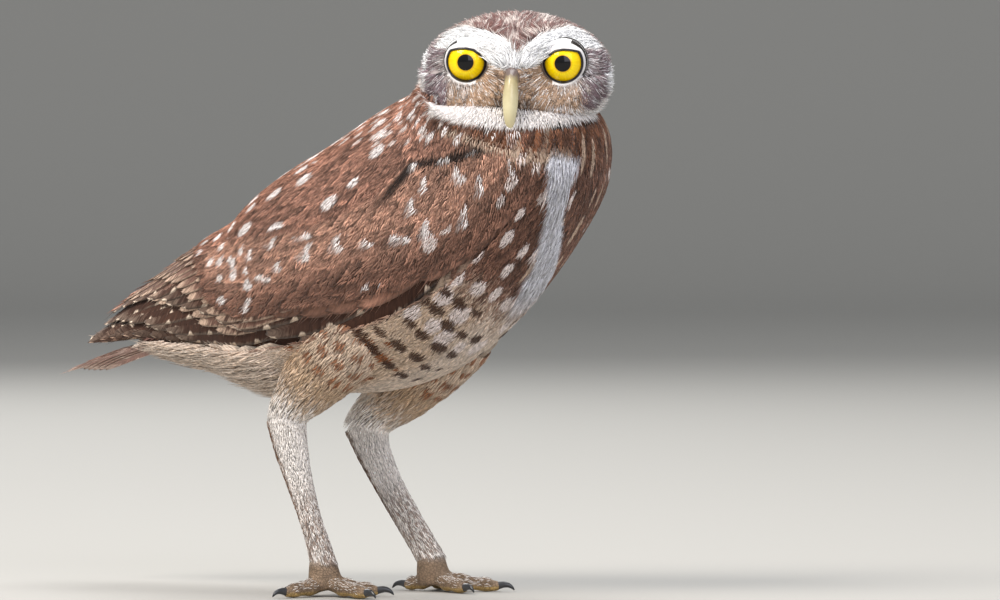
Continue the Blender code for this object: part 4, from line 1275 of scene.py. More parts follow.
        # The white rim of the disc, then the painted shadow beside the bill and a smaller dark patch above
        # it
        rim = np.exp(-((y - 30.6) / 0.8) ** 4) * soft_step(8.0 - z, 0, 2) * soft_step(x, -4, 1)
        patch = np.exp(-((y - 5.0) / 1.8) ** 2 - ((z + 7.4) / 2.6) ** 2) * (x > 8)
        patch = np.maximum(patch, 0.9 * np.exp(-((y - 4.2) / 1.2) ** 2 - (z / 2.2) ** 2) * (x > 8))
        # The grey-brown ear coverts, the grey ring below each eye, and the crown
        ear = soft_step(y, 21.0, 23.4) * soft_step(x, -2, 2) * (1 - brow) * (1 - white)
        grey = np.exp(-((np.hypot(out, up) - 8.4) / 2.4) ** 2)
        grey = grey * soft_step(3.0 - up, 0, 4) * soft_step(out, -5, 0)
        crown = soft_step(z - over, -0.5, 0.6)
        return {"brow": brow, "white": white, "rim": rim, "patch": patch, "ear": ear, "grey": grey * face,
                "crown": crown, "face": face}

    def head_tone(self, points: Array) -> tuple[Array, Array]:
        """Colours of the head by place.

        Args:
            points: places in the head's frame.

        Returns:
            The colour, and how streaked it is.
        """
        zone = self.head_zones(points)
        colour = Tone.CROWN.linear + 0 * points[..., :1]
        colour = blend(colour, Tone.FACE.linear, zone["face"] * (1 - zone["crown"]))
        colour = blend(colour, Tone.EAR.linear, zone["ear"])
        colour = blend(colour, Tone.FACE_GREY.linear, zone["grey"] * 0.8)
        # Painted shadow beside the bill, in the same colour as the smaller dark patch above it
        colour = blend(colour, Tone.BILL_SHADOW.linear, zone["patch"] * 0.85)
        for key, tone in (("rim", Tone.BROW), ("white", Tone.CHIN), ("brow", Tone.BROW)):
            colour = blend(colour, tone.linear, zone[key])
        quiet = np.maximum(zone["brow"], np.maximum(zone["white"], zone["rim"]))
        return colour, (1 - quiet) * np.maximum(zone["crown"], 1 - zone["face"])

    def skin_tone(self, points: Array) -> Array:
        """Colour of the skin at any points of the bird.

        Args:
            points: places in the bird's frame.

        Returns:
            Linear colours.
        """
        rng = np.random.default_rng(2)
        parts = np.array_split(points, max(1, len(points) // self.chunk))
        body = np.concatenate([self.tone(*self.locate(part), rng, False) for part in parts])
        local = self.head.to_head(points)
        near = np.linalg.norm(local / self.head.half, axis=-1)
        colour = blend(body * 0.7, self.head_tone(local)[0] * 0.75, soft_step(-near, -1.12, -1.0))
        # Down the legs the colour changes with height, in millimetres over the floor
        z = points[:, 2] / MM
        colour = blend(colour, Tone.THIGH.linear * 0.7, soft_step(-z, -78, -66))
        colour = blend(colour, Tone.SHANK.linear * 0.6, soft_step(-z, -60, -50))
        colour = blend(colour, Tone.TOE.linear, soft_step(-z, -16, -9))
        return blend(colour, Tone.TOE_PAD.linear, soft_step(-z, -2.4, -1.2))


# The bird


THIGH_ROWS = {
    "right": ((6, -19, 96, 16, 14), (-4, -19.5, 84, 15, 13), (-15, -20.2, 72, 11.5, 10.5),
              (-22, -20.5, 64, 8.4, 7.8), (-25, -20.5, 59, 6.9, 6.6)),
    "left": ((22, 19, 92, 15, 14), (10, 19.4, 79, 13, 12), (-2, 19.4, 68.5, 11, 10.5),
             (-12, 19.2, 61, 8.9, 8.2), (-17.2, 19, 55.5, 8.0, 7.0)),
}
SHANK_ROWS = {
    "right": ((-25, -20.5, 58, 6.9, 6.6), (-22.6, -21, 48, 5.9, 5.5), (-19, -21.5, 37, 4.7, 4.4),
              (-14.9, -22, 26, 4.0, 3.9), (-11.6, -22, 17, 4.3, 4.1), (-9.6, -22, 10.5, 4.9, 4.5)),
    "left": ((-17.2, 19, 54.5, 8.0, 7.0), (-14.8, 19, 47, 6.3, 5.8), (-9.2, 19.5, 36, 5.3, 4.7),
             (-3.0, 20, 26, 5.0, 4.4), (3.2, 20, 17, 4.9, 4.4), (7.6, 20, 10.5, 5.0, 4.6)),
}
TOE_LAYOUT = {1: (178.0, 11.5), 2: (-24.0, 17.0), 3: (22.0, 21.5), 4: (112.0, 17.0)}
FLESH_NODES = ("torso", "neck", "head", "tail", "wing_right", "wing_left", "thigh_right", "thigh_left",
               "shank_right", "shank_left", "foot_right", "foot_left")


@dataclass
class Legs:
    """Thigh, shank and toes of one side."""

    side: str

    def __post_init__(self) -> None:
        """Makes the tubes from the named rows."""
        sign = -1.0 if self.side == "right" else 1.0
        self.thigh = LegForm(THIGH_ROWS[self.side], (0.56, 0.02, 0.18, 0.1))
        self.shank = LegForm(SHANK_ROWS[self.side], (0.56, 0.13, 0.18, 0.1))
        x, y = SHANK_ROWS[self.side][-1][:2]
        start = np.array([(x + 1.2) * MM, y * MM, 0.0]) + ORIGIN_SHIFT
        self.toes = {n: ToeForm(start, math.radians(turn) * sign, length * MM)
                     for n, (turn, length) in TOE_LAYOUT.items()}


@dataclass
class Skin:
    """The one skin under the plumage, which stands for every node of flesh."""

    body: BodyForm
    head: HeadForm
    legs: list[Legs]
    pattern: Pattern
    voxel: float = 0.85 * MM
    coat_depth: float = 2.4 * MM       # how far it lies under the outside of the plumage
    wing_depth: float = 2.6 * MM       # more of it under the wings
    tail_depth: float = 1.4 * MM       # more of it towards the tail
    head_depth: float = 1.3 * MM
    under_depth: float = 1.2 * MM      # of the fluff under the tail
    thigh_depth: float = 1.6 * MM
    shank_depth: float = 0.7 * MM
    body_ends: tuple[float, float] = (1.6, 11.3)

    def lofts(self) -> list[MeshArrays]:
        """Closed lofts of the body, under the tail, head, legs and toes, which overlap one another.

        Returns:
            One mesh for each.
        """
        turn = np.linspace(0, 2 * np.pi, 64, endpoint=False)[None]
        t = np.linspace(*self.body_ends, 90)[:, None]
        winged = soft_step(10.2 - t) * soft_step((142 - sides(turn)) / 14)
        depth = self.coat_depth + self.wing_depth * winged + self.tail_depth * soft_step(4.0 - t)
        parts = [tube_arrays(self.body.point(t, turn, np.minimum(depth, 0.35 * MM + 0.006 * t)))]
        under = BodyForm(UNDERTAIL_ROWS)
        t = np.linspace(0.0, 3.6, 30)[:, None]
        parts.append(tube_arrays(under.point(t, turn, self.under_depth + 0 * t)))
        away = np.linspace(0.05, np.pi - 0.05, 60)[:, None]
        ring = np.sin(away)
        way = np.stack([np.cos(away) + 0 * turn, ring * np.cos(turn), ring * np.sin(turn)], -1)
        rings = self.head.settle(way)
        rings = rings - self.head.outward(rings) * self.head_depth
        parts.append(tube_arrays(self.head.to_world(rings)))
        for leg in self.legs:
            for carrier, sunk in ((leg.thigh, self.thigh_depth), (leg.shank, self.shank_depth)):
                t = np.linspace(0.0, carrier.stations[1] + 0.12, 40)[:, None]
                parts.append(tube_arrays(carrier.point(t, turn[:, ::2], sunk + 0 * t)))
            for toe in leg.toes.values():
                t = np.linspace(-0.05, 1.03, 30)[:, None]
                parts.append(tube_arrays(toe.surface(t, turn[:, ::2])))
            x, y, z, front, across = SHANK_ROWS[leg.side][-1]
            knuckle = LegForm(((x - 0.6, y, z + 2.0, front * 0.9, across * 0.9), (x + 0.4, y, 6.0, 5.6, 5.2),
                               (x + 1.2, y, 2.0, 4.6, 4.4)))
            parts.append(tube_arrays(knuckle.surface(np.linspace(0, 2, 16)[:, None], turn[:, ::2])))
        return parts

    def make(self, finish: bpy.types.Material) -> bpy.types.Object:
        """Joins the lofts, remeshes them into one surface and smooths it.

        Args:
            finish: the skin's material.

        Returns:
            The skin.
        """
        parts = self.lofts()
        starts = np.cumsum([0] + [len(part.points) for part in parts])
        rough = MeshArrays(np.concatenate([part.points for part in parts]),
                           np.concatenate([part.faces + start for part, start in zip(parts, starts)]))
        rough = rough.build("rough_skin")
        remesh = rough.modifiers.new("one_surface", "REMESH")
        remesh.mode = "VOXEL"
        remesh.voxel_size = self.voxel
        smooth = rough.modifiers.new("smooth", "SMOOTH")
        smooth.factor, smooth.iterations = 0.5, 5
        graph = bpy.context.evaluated_depsgraph_get()
        mesh = bpy.data.meshes.new_from_object(rough.evaluated_get(graph))
        bpy.data.objects.remove(rough, do_unlink=True)
        mesh.name = "skin"
        skin = bpy.data.objects.new("skin", mesh)
        bpy.context.scene.collection.objects.link(skin)
        places = np.empty(len(mesh.vertices) * 3, np.float32)
        mesh.vertices.foreach_get("co", places)
        paint(mesh, "base", self.pattern.skin_tone(places.reshape(-1, 3).astype(float)))
        mesh.polygons.foreach_set("use_smooth", np.full(len(mesh.polygons), True))
        mesh.materials.append(finish)
        return skin


@dataclass(frozen=True)
class Tier:
    """One row of flight feathers: its first and last feather, and how they are marked."""

    name: str
    count: int
    roots: tuple[tuple[float, float], tuple[float, float]]      # stations, then degrees
    tips: tuple[tuple[float, float], tuple[float, float]]
    half: float                        # half width and depths in millimetres
    root_depth: float
    tip_depth: tuple[float, float]
    base: Tone
    mark: Tone
    strength: tuple[float, float]      # of the bars and of the pale edge
    gap: float                         # millimetres from bar to bar


# How quills, coverts and small body feathers are cut
FLIGHT_CUT = BladeShape(18, 7, 0.5, 0.12, 7.0, 0.3 * MM, 0.2 * MM, 0.05, 10, 0.14 * MM, 0.05)
COVERT_CUT = BladeShape(7, 5, 0.5, 0.25, 3.2, 0.12 * MM, 0.15 * MM, 0.12, 11, 0.17 * MM, 0.17)
SMALL_CUT = BladeShape(5, 3, 0.5, 0.35, 3.0, 0.1 * MM, 0.12 * MM, 0.16, 7, 0.17 * MM, 0.2)
WING_TIERS = (
    Tier("primary", 9, ((5.6, 7.8), (116.0, 128.0)), ((0.1, 3.6), (93.0, 126.0)), 4.4, 3.2, (2.2, 1.6),
         Tone.FLIGHT, Tone.FLIGHT_BAR, (0.9, 0.1), 14.0),
    Tier("inner_primary", 8, ((5.0, 6.8), (54.0, 112.0)), ((0.9, 3.2), (46.0, 112.0)), 4.6, 2.8, (2.0, 1.4),
         Tone.FLIGHT, Tone.FLIGHT_BAR, (0.85, 0.15), 12.0),
    Tier("secondary", 12, ((6.2, 8.3), (26.0, 126.0)), ((1.2, 5.6), (34.0, 121.0)), 4.8, 2.4, (1.0, 0.9),
         Tone.FLIGHT, Tone.FLIGHT_BAR, (0.85, 0.1), 13.0),
    Tier("tertial", 12, ((5.0, 6.8), (12.0, 104.0)), ((1.4, 4.2), (26.0, 107.0)), 3.3, 2.2, (0.9, 1.3),
         Tone.TERTIAL, Tone.TERTIAL_EDGE, (0.35, 0.8), 7.5),
    Tier("tertial_covert", 13, ((5.0, 7.0), (12.0, 106.0)), ((2.2, 4.6), (22.0, 105.0)), 3.1, 1.8,
         (0.5, 0.9), Tone.TERTIAL, Tone.TERTIAL_EDGE, (0.35, 0.75), 7.5),
    Tier("tertial_small", 13, ((5.2, 7.2), (10.0, 104.0)), ((3.0, 4.9), (18.0, 101.0)), 2.9, 1.4, (0.2, 0.6),
         Tone.TERTIAL, Tone.TERTIAL_EDGE, (0.35, 0.7), 7.0),
)
# Stations and degrees along the tips of the last and the first row of coverts
COVERT_TIPS = ((3.8, 22), (4.0, 56), (4.4, 88), (5.9, 108), (7.3, 120), (8.6, 133))
COVERT_FRONT = ((8.9, 40), (9.3, 60), (9.6, 84), (9.85, 106), (10.0, 124), (10.05, 141))


@dataclass
class Wings:
    """Both folded wings, from the flight feathers to the scapulars that lap over their upper edge."""

    body: BodyForm
    pattern: Pattern
    tilt: float = 0.4 * MM
    covert_rows: int = 10

    def feathers(self, root: Array, tip: Array, side: float, half: Array, depth: Array, shape: BladeShape,
                 marks: Marks | None, seed: int) -> MeshArrays:
        """Feathers of one wing.

        Args:
            root: stations and degrees from the ridge.
            tip: the same for the tips.
            side: 1 for the right wing, -1 for the left.
            half: half widths in millimetres.
            depth: of root and tip, in millimetres.
            shape: how they are cut.
            marks: what is drawn on them, or none for the pattern's own colours.
            seed: for the small differences between feathers.

        Returns:
            The mesh.
        """
        turn = np.array([1.0, side * math.pi / 180])
        if marks is None:
            tones = self.pattern.tone(*(tip * turn + [0.15, 0.0]).T, np.random.default_rng(seed), False)
            marks = Marks.plain(tones, tones)
        return BodyFeathers(carrier=self.body, root=root * turn, tip=tip * turn, half=half * MM,
                            depth=depth * MM, shape=shape, marks=marks,
                            tilt=self.tilt * side * np.ones(len(half)), seed=seed).arrays()

    def tier(self, tier: Tier, side: float, seed: int) -> MeshArrays:
        """The flight feathers of one row."""
        rng = np.random.default_rng(seed)
        f = np.linspace(0, 1, tier.count)[:, None]
        root, tip = (np.array([ends[0][0], ends[1][0]]) * (1 - f) + np.array([ends[0][1], ends[1][1]]) * f
                     for ends in (tier.roots, tier.tips))
        tip = tip + rng.uniform(-1, 1, tip.shape) * np.array([0.12, 1.0])
        depth = np.stack([np.full(tier.count, tier.root_depth),
                          tier.tip_depth[0] + (tier.tip_depth[1] - tier.tip_depth[0]) * f[:, 0]], -1)
        base = tier.base.rows(tier.count) * rng.uniform(0.8, 1.2, (tier.count, 1))
        half = tier.half * rng.uniform(0.92, 1.08, tier.count)
        marks = Marks.plain(base, tier.mark.linear, (*tier.strength, tier.gap))
        return self.feathers(root, tip, side, half, depth, FLIGHT_CUT, marks, seed)

    def coverts(self, side: float, seed: int) -> MeshArrays:
        """Rows of coverts between the line of the greater coverts' tips and the front of the wing."""
        rng = np.random.default_rng(seed)
        row, f = [], []
        for i in range(self.covert_rows):
            share = (i / (self.covert_rows - 1)) ** 0.9
            count = round(16 - 6 * share)
            row.append(np.full(count, share))
            f.append((np.arange(count) + (0.25 if i % 2 else 0.75)) / count)
        row, f = np.concatenate(row), np.concatenate(f)
        low, high = (smooth_rows(np.array(line, float), f * 5) for line in (COVERT_TIPS, COVERT_FRONT))
        tip = low + (high - low) * row[:, None] + rng.uniform(-1, 1, low.shape) * np.array([0.08, 1.2])
        ahead = np.stack([1.35 - 0.65 * row, 2.0 + 0 * row], -1)
        depth = np.stack([2.2 - 0.7 * row, 0.6 - 0.3 * row], -1) + rng.uniform(-0.1, 0.1, (len(row), 2))
        half = (5.0 - 1.4 * row) * rng.uniform(0.9, 1.1, len(row))
        return self.feathers(tip + ahead, tip, side, half, depth, COVERT_CUT, None, seed)

    def scapulars(self, side: float, seed: int) -> MeshArrays:
        """The long shoulder feathers over the wing's upper edge."""
        rng = np.random.default_rng(seed)
        t, angle = self.body.scatter(4.7, 9.9, math.radians(6), math.radians(112), 6.4 * MM, rng)
        angle = np.degrees(angle)
        keep = in_scapulars(t, angle + 1)
        tip = np.stack([t, angle], -1)[keep]
        count = len(tip)
        root = tip + np.stack([np.full(count, 0.98), rng.uniform(-4, 4, count)], -1)
        depth = np.stack([np.full(count, 1.2), rng.uniform(0.0, 0.3, count)], -1)
        half = 4.7 * rng.uniform(0.85, 1.1, count)
        return self.feathers(root, tip, side, half, depth, COVERT_CUT, None, seed)

    def make(self) -> list[tuple[str, MeshArrays]]:
        """Every row of both wings."""
        made = []
        for side, word, seed in ((1.0, "right", 10), (-1.0, "left", 50)):
            made += [(f"{tier.name}_{word}", self.tier(tier, side, seed + i))
                     for i, tier in enumerate(WING_TIERS)]
            made.append((f"coverts_{word}", self.coverts(side, seed + 20)))
            made.append((f"scapulars_{word}", self.scapulars(side, seed + 21)))
        return made


@dataclass(frozen=True)
class Tract:
    """One field of small feathers: where it lies, in stations and degrees, and how they grow."""

    name: str
    stations: tuple[float, float]
    degrees: tuple[float, float]
    gap: float                         # millimetres between roots
    length: float
    half: float
    depths: tuple[float, float]
    inside: Callable[[Array, Array], Array]
    shape: BladeShape = SMALL_CUT
    stray: float = 0.1                 # radians from the lie


TRACTS = (
    Tract("mantle", (1.7, 10.0), (-90, 90), 5.0, 12.0, 3.6, (1.9, 0.3),
          lambda t, side: side < WING_TOP(t) + 9),
    Tract("nape", (9.7, 11.6), (-112, 112), 3.6, 10.0, 2.6, (2.0, 0.3), lambda t, side: side < 112),
    Tract("breast", (8.0, 10.6), (96, 264), 4.3, 11.5, 3.5, (2.2, 0.5),
          lambda t, side: outside_wing(t, side + 3)),
    Tract("belly", (4.8, 8.1), (114, 246), 4.8, 13.5, 4.0, (2.2, 0.5),
          lambda t, side: outside_wing(t, side - 4)),
    Tract("vent", (3.6, 5.0), (108, 252), 3.6, 12.0, 2.6, (2.4, 0.6),
          lambda t, side: outside_wing(t, side - 6), SMALL_CUT, 0.2),
)


@dataclass
class BodyCoat:
    """The small feathers of the back, breast, belly and flanks."""

    body: BodyForm
    pattern: Pattern

    def tract(self, tract: Tract, seed: int) -> MeshArrays:
        """Feathers of one tract, which point towards the tail."""
        rng = np.random.default_rng(seed)
        t, angle = self.body.scatter(*tract.stations, *np.radians(tract.degrees), tract.gap * MM, rng)
        turned = np.degrees(angle) % 360
        chin = (t > CHIN_LINE(turned) + 0.1) & (turned > CHIN_LINE.at[0]) & (turned < CHIN_LINE.at[-1])
        keep = tract.inside(t, sides(angle)) & ~chin
        t, angle = t[keep], angle[keep]
        count = len(t)
        along, around = self.body.steps(t, angle)
        size = tract.length * MM * rng.uniform(0.82, 1.18, count)
        stray = rng.normal(0, tract.stray, count)
        tip = np.stack([t - size * np.cos(stray) / along, angle + size * np.sin(stray) / around], -1)
        depth = (np.array(tract.depths) + rng.uniform(-0.2, 0.2, (count, 2))) * MM
        tones = self.pattern.tone(t - 0.8 * size / along, angle, rng, False)
        return BodyFeathers(carrier=self.body, root=np.stack([t, angle], -1), tip=tip, depth=depth,
                            half=tract.half * MM * rng.uniform(0.85, 1.15, count),
                            tilt=rng.normal(0, 0.15 * MM, count), shape=tract.shape,
                            marks=Marks.plain(tones, tones), seed=seed).arrays()

    def make(self) -> list[tuple[str, MeshArrays]]:
        """Every tract."""
        return [(tract.name, self.tract(tract, 61 + i)) for i, tract in enumerate(TRACTS)]


@dataclass(frozen=True)
class DownField:
    """One field of hair-like feathers or loose barbs on a carrier, and how they grow."""

    stations: tuple[float, float]
    degrees: tuple[float, float]
    gap: float                         # millimetres
    length: float
    half: float
    lift: float
    sunk: float = 0.6
    sense: float = -1.0                # -1 towards station 0, 1 away from it
    droop: float = 0.0                 # how far they turn down from the lie
    lean: float = 0.0                  # radians away from the ridge
    fan: float = 0.0                   # how far barbs spread from the shafts that they belong to


def barbs_over(t: Array, turned: Array) -> Array:
    """Whether places bear the barbs of wings, back and nape: above the coverts' edge, clear of the chin."""
    return in_coverts(t, fold(turned) + 1) & ~((t > CHIN_LINE(turned)) & (turned > CHIN_LINE.at[0]))


def barbs_under(t: Array, turned: Array) -> Array:
    """Whether places bear the barbs of breast and belly: below the wing, up to the chin."""
    return outside_wing(t, fold(turned) + 1) & (t < CHIN_LINE(turned))


BARB = {"length": 2.6, "half": 0.25, "lift": 0.18, "sunk": 0.0, "fan": 0.6}
BARB_FIELDS = (
    ("barbs_rear_right", DownField((3.9, 7.0), (0, 126), 0.7, lean=0.3, **BARB), barbs_over),
    ("barbs_front_right", DownField((7.0, 11.2), (0, 146), 0.7, lean=0.3, **BARB), barbs_over),
    ("barbs_rear_left", DownField((3.9, 7.0), (-126, 0), 0.9, lean=0.3, **BARB), barbs_over),
    ("barbs_front_left", DownField((7.0, 11.4), (-146, 0), 0.9, lean=0.3, **BARB), barbs_over),
    ("barbs_breast", DownField((7.9, 10.9), (100, 250), 0.75, **BARB), barbs_under),
    ("barbs_belly", DownField((4.9, 7.9), (114, 246), 0.8, **BARB), barbs_under),
)
BREAST_STRIP = DownField((7.8, 10.6), (130, 205), 1.0, 7.0, 0.26, 0.28, 0.0)
CHIN_DOWN = DownField((9.8, 10.62), (56, 250), 0.7, 3.6, 0.24, 0.2, 0.2)
VENT_DOWN = DownField((2.6, 5.2), (106, 254), 1.2, 11.0, 0.36, 0.4, droop=0.12)
UNDERTAIL_DOWN = DownField((0.0, 2.4), (112, 248), 1.2, 10.0, 0.36, 0.4, sense=1.0, droop=0.15)
THIGH_DOWN = DownField((0.3, 4.05), (-180, 180), 0.95, 5.0, 0.34, 0.32, 1.0, 1.0)
SHANK_DOWN = DownField((-0.1, 4.95), (-180, 180), 0.62, 2.4, 0.2, 0.3, 0.5, 1.0)
TOE_BRISTLES = DownField((0.0, 0.86), (-100, 100), 0.75, 1.5, 0.12, 0.5, 0.15, 1.0)
# Barbs fan out from shafts, which lie this many millimetres apart from row to row and within a row
SHAFT_GAP = (10.0, 7.5)


def down(carrier: Carrier, kind: DownField, colour: Callable[[Array, Array, Array], Array], seed: int,
         inside: Callable[[Array, Array], Array] | None = None) -> MeshArrays:
    """Grows one field of hair-like feathers, coloured by where their middles lie.

    Args:
        carrier: what they grow on.
        kind: how they grow.
        colour: gives colours for stations, angles and a random number each.
        seed: for their variety.
        inside: tells which stations and degrees round the carrier bear them, where not all do.

    Returns:
        The mesh.
    """
    rng = np.random.default_rng(seed)
    t, angle = carrier.scatter(*kind.stations, *np.radians(kind.degrees), kind.gap * MM, rng)
    if inside is not None:
        keep = inside(t, np.degrees(angle) % 360)
        t, angle = t[keep], angle[keep]
    count = len(t)
    along, around = carrier.steps(t, angle)
    row = np.floor(t * along / (SHAFT_GAP[0] * MM)) % 2
    shaft = (angle * around / (SHAFT_GAP[1] * MM) + 0.5 * row) % 1 - 0.5
    turn = kind.lean * np.sign(np.sin(angle)) + kind.fan * shaft + rng.normal(0, 0.14, count)
    length = kind.length * MM * rng.uniform(0.7, 1.3, count)
    root = carrier.point(t, angle, np.full(count, kind.sunk * MM))
    ahead = unit(carrier.surface(t + 0.05, angle) - carrier.surface(t - 0.05, angle)) * kind.sense
    aside = unit(carrier.surface(t, angle + 0.05) - carrier.surface(t, angle - 0.05))
    way = ahead * np.cos(turn)[:, None] + aside * np.sin(turn)[:, None] - np.array([0, 0, kind.droop])
    rise = -carrier.inward(t, angle)
    rise = unit(rise - unit(way) * (rise * unit(way)).sum(-1, keepdims=True))
    reach = 0.5 * length
    tones = colour(t + kind.sense * reach * np.cos(turn) / along, angle + reach * np.sin(turn) / around,
                   rng.uniform(0, 1, count))
    tones = tones * rng.uniform(0.8, 1.2, (count, 1))
    return Locks(root, unit(way), rise, length, np.full(count, kind.half * MM),
                 rng.uniform(0.6, 1.3, count) * kind.lift, carrier.unwrap(t, angle),
                 Marks.plain(tones, tones), seed=seed).arrays()


@dataclass
class Down:
    """Loose barbs over the feathers of the body, and soft fields: the breast's white strip, the chin, the
    vent, under the tail, the thighs, shanks and toes."""

    body: BodyForm
    pattern: Pattern
    legs: list[Legs]

    def body_tone(self, t: Array, angle: Array, own: Array) -> Array:
        """The plumage's own colour, with its spots."""
        return self.pattern.tone(t, angle, np.random.default_rng(5))

    @staticmethod
    def vent_tone(t: Array, angle: Array, own: Array) -> Array:
        """Buff white, here and there a little darker."""
        return blend(Tone.VENT.rows(len(t)), Tone.THIGH.linear, 0.5 * own)

    @staticmethod
    def undertail_tone(t: Array, angle: Array, own: Array) -> Array:
        """The vent's tones below, the tail's own towards its edge."""
        return blend(Down.vent_tone(t, angle, own), Tone.TAIL.linear, soft_step(164 - sides(angle), 0, 8))

    @staticmethod
    def thigh_tone(t: Array, angle: Array, own: Array) -> Array:
        """Barred like the belly at the top, then buff, and whiter towards the shank."""
        row = np.floor(t * 2.8)
        bar = (t * 2.8 % 1 < 0.42) & ((angle * 1.9 + 0.5 * (row % 2)) % 1 < 0.6) & (t < 1.5 + 0.3 * own)
        base = blend(Tone.BELLY.rows(len(t)), Tone.THIGH.linear, soft_step(t, 1.0, 1.9))
        base = blend(base, Tone.BAR_RUFOUS.linear, 0.8 * bar)
        return blend(base, Tone.SHANK.linear, soft_step(t + own, 2.4, 4.2))

    @staticmethod
    def shank_tone(t: Array, angle: Array, own: Array) -> Array:
        """White in front, brown behind, and speckled grey-brown towards the foot."""
        rear = soft_step(-np.cos(angle) + 0.5 * (own - 0.5), 0.45, 0.75) * soft_step(4.2 - t, 0, 1.5)
        speck = soft_step(t, 1.6, 3.0) * (own > 0.52)
        return blend(Tone.SHANK.rows(len(t)), Tone.SHANK_REAR.linear, np.maximum(rear, 0.75 * speck))

    @staticmethod
    def toe_tone(t: Array, angle: Array, own: Array) -> Array:
        """White and grey-brown bristles."""
        return blend(Tone.SHANK.rows(len(t)), Tone.TOE.linear, own > 0.5)

    def make(self) -> list[tuple[str, MeshArrays]]:
        """Every field."""
        body, tone = self.body, self.body_tone
        under = BodyForm(UNDERTAIL_ROWS, (0.02, 0.9, 0.2, 0.08))
        made = [(name, down(body, kind, tone, 91 + i, inside))
                for i, (name, kind, inside) in enumerate(BARB_FIELDS)]
        made += [
            ("breast_strip", down(body, BREAST_STRIP, tone, 101,
                                  lambda t, turned: self.pattern.strip(t, np.radians(turned)) > 0.5)),
            ("chin_down", down(body, CHIN_DOWN, tone, 105,
                               lambda t, turned: t > CHIN_LINE(turned) + 0.08)),
            ("vent_down", down(body, VENT_DOWN, self.vent_tone, 103,
                               lambda t, turned: outside_wing(t, fold(turned)))),
            ("undertail_down", down(under, UNDERTAIL_DOWN, self.undertail_tone, 104)),
        ]
        for i, leg in enumerate(self.legs):
            made += [(f"thigh_down_{leg.side}", down(leg.thigh, THIGH_DOWN, self.thigh_tone, 111 + i)),
                     (f"shank_down_{leg.side}", down(leg.shank, SHANK_DOWN, self.shank_tone, 113 + i))]
            made += [(f"toe_bristles_{leg.side}_{number}",
                      down(toe, TOE_BRISTLES, self.toe_tone, 120 + i * 4 + number))
                     for number, toe in leg.toes.items()]
        return made


@dataclass(kw_only=True)
class HeadFeathers(Feathers):
    """Feathers of the head, each laid flat along its way, then settled on the surface point by point."""

    head: HeadForm
    root: Array
    way: Array
    patch: Array = field(init=False)

    def __post_init__(self) -> None:
        """Finds which way is across, and the roots on the unwrap."""
        self.across = np.cross(self.head.outward(self.root), self.way)
        self.patch = self.head.unwrap(self.root)

    def place(self, u: Array, y: Array, sink: Array) -> Array:
        """Root plus way times length times u plus across times y, settled and sunk."""
        on = self.head.settle(self.root[:, None] + self.way[:, None] * (self.length[:, None] * u)[..., None]
                              + self.across[:, None] * y[..., None])
        return self.head.to_world(on - self.head.outward(on) * sink[..., None])


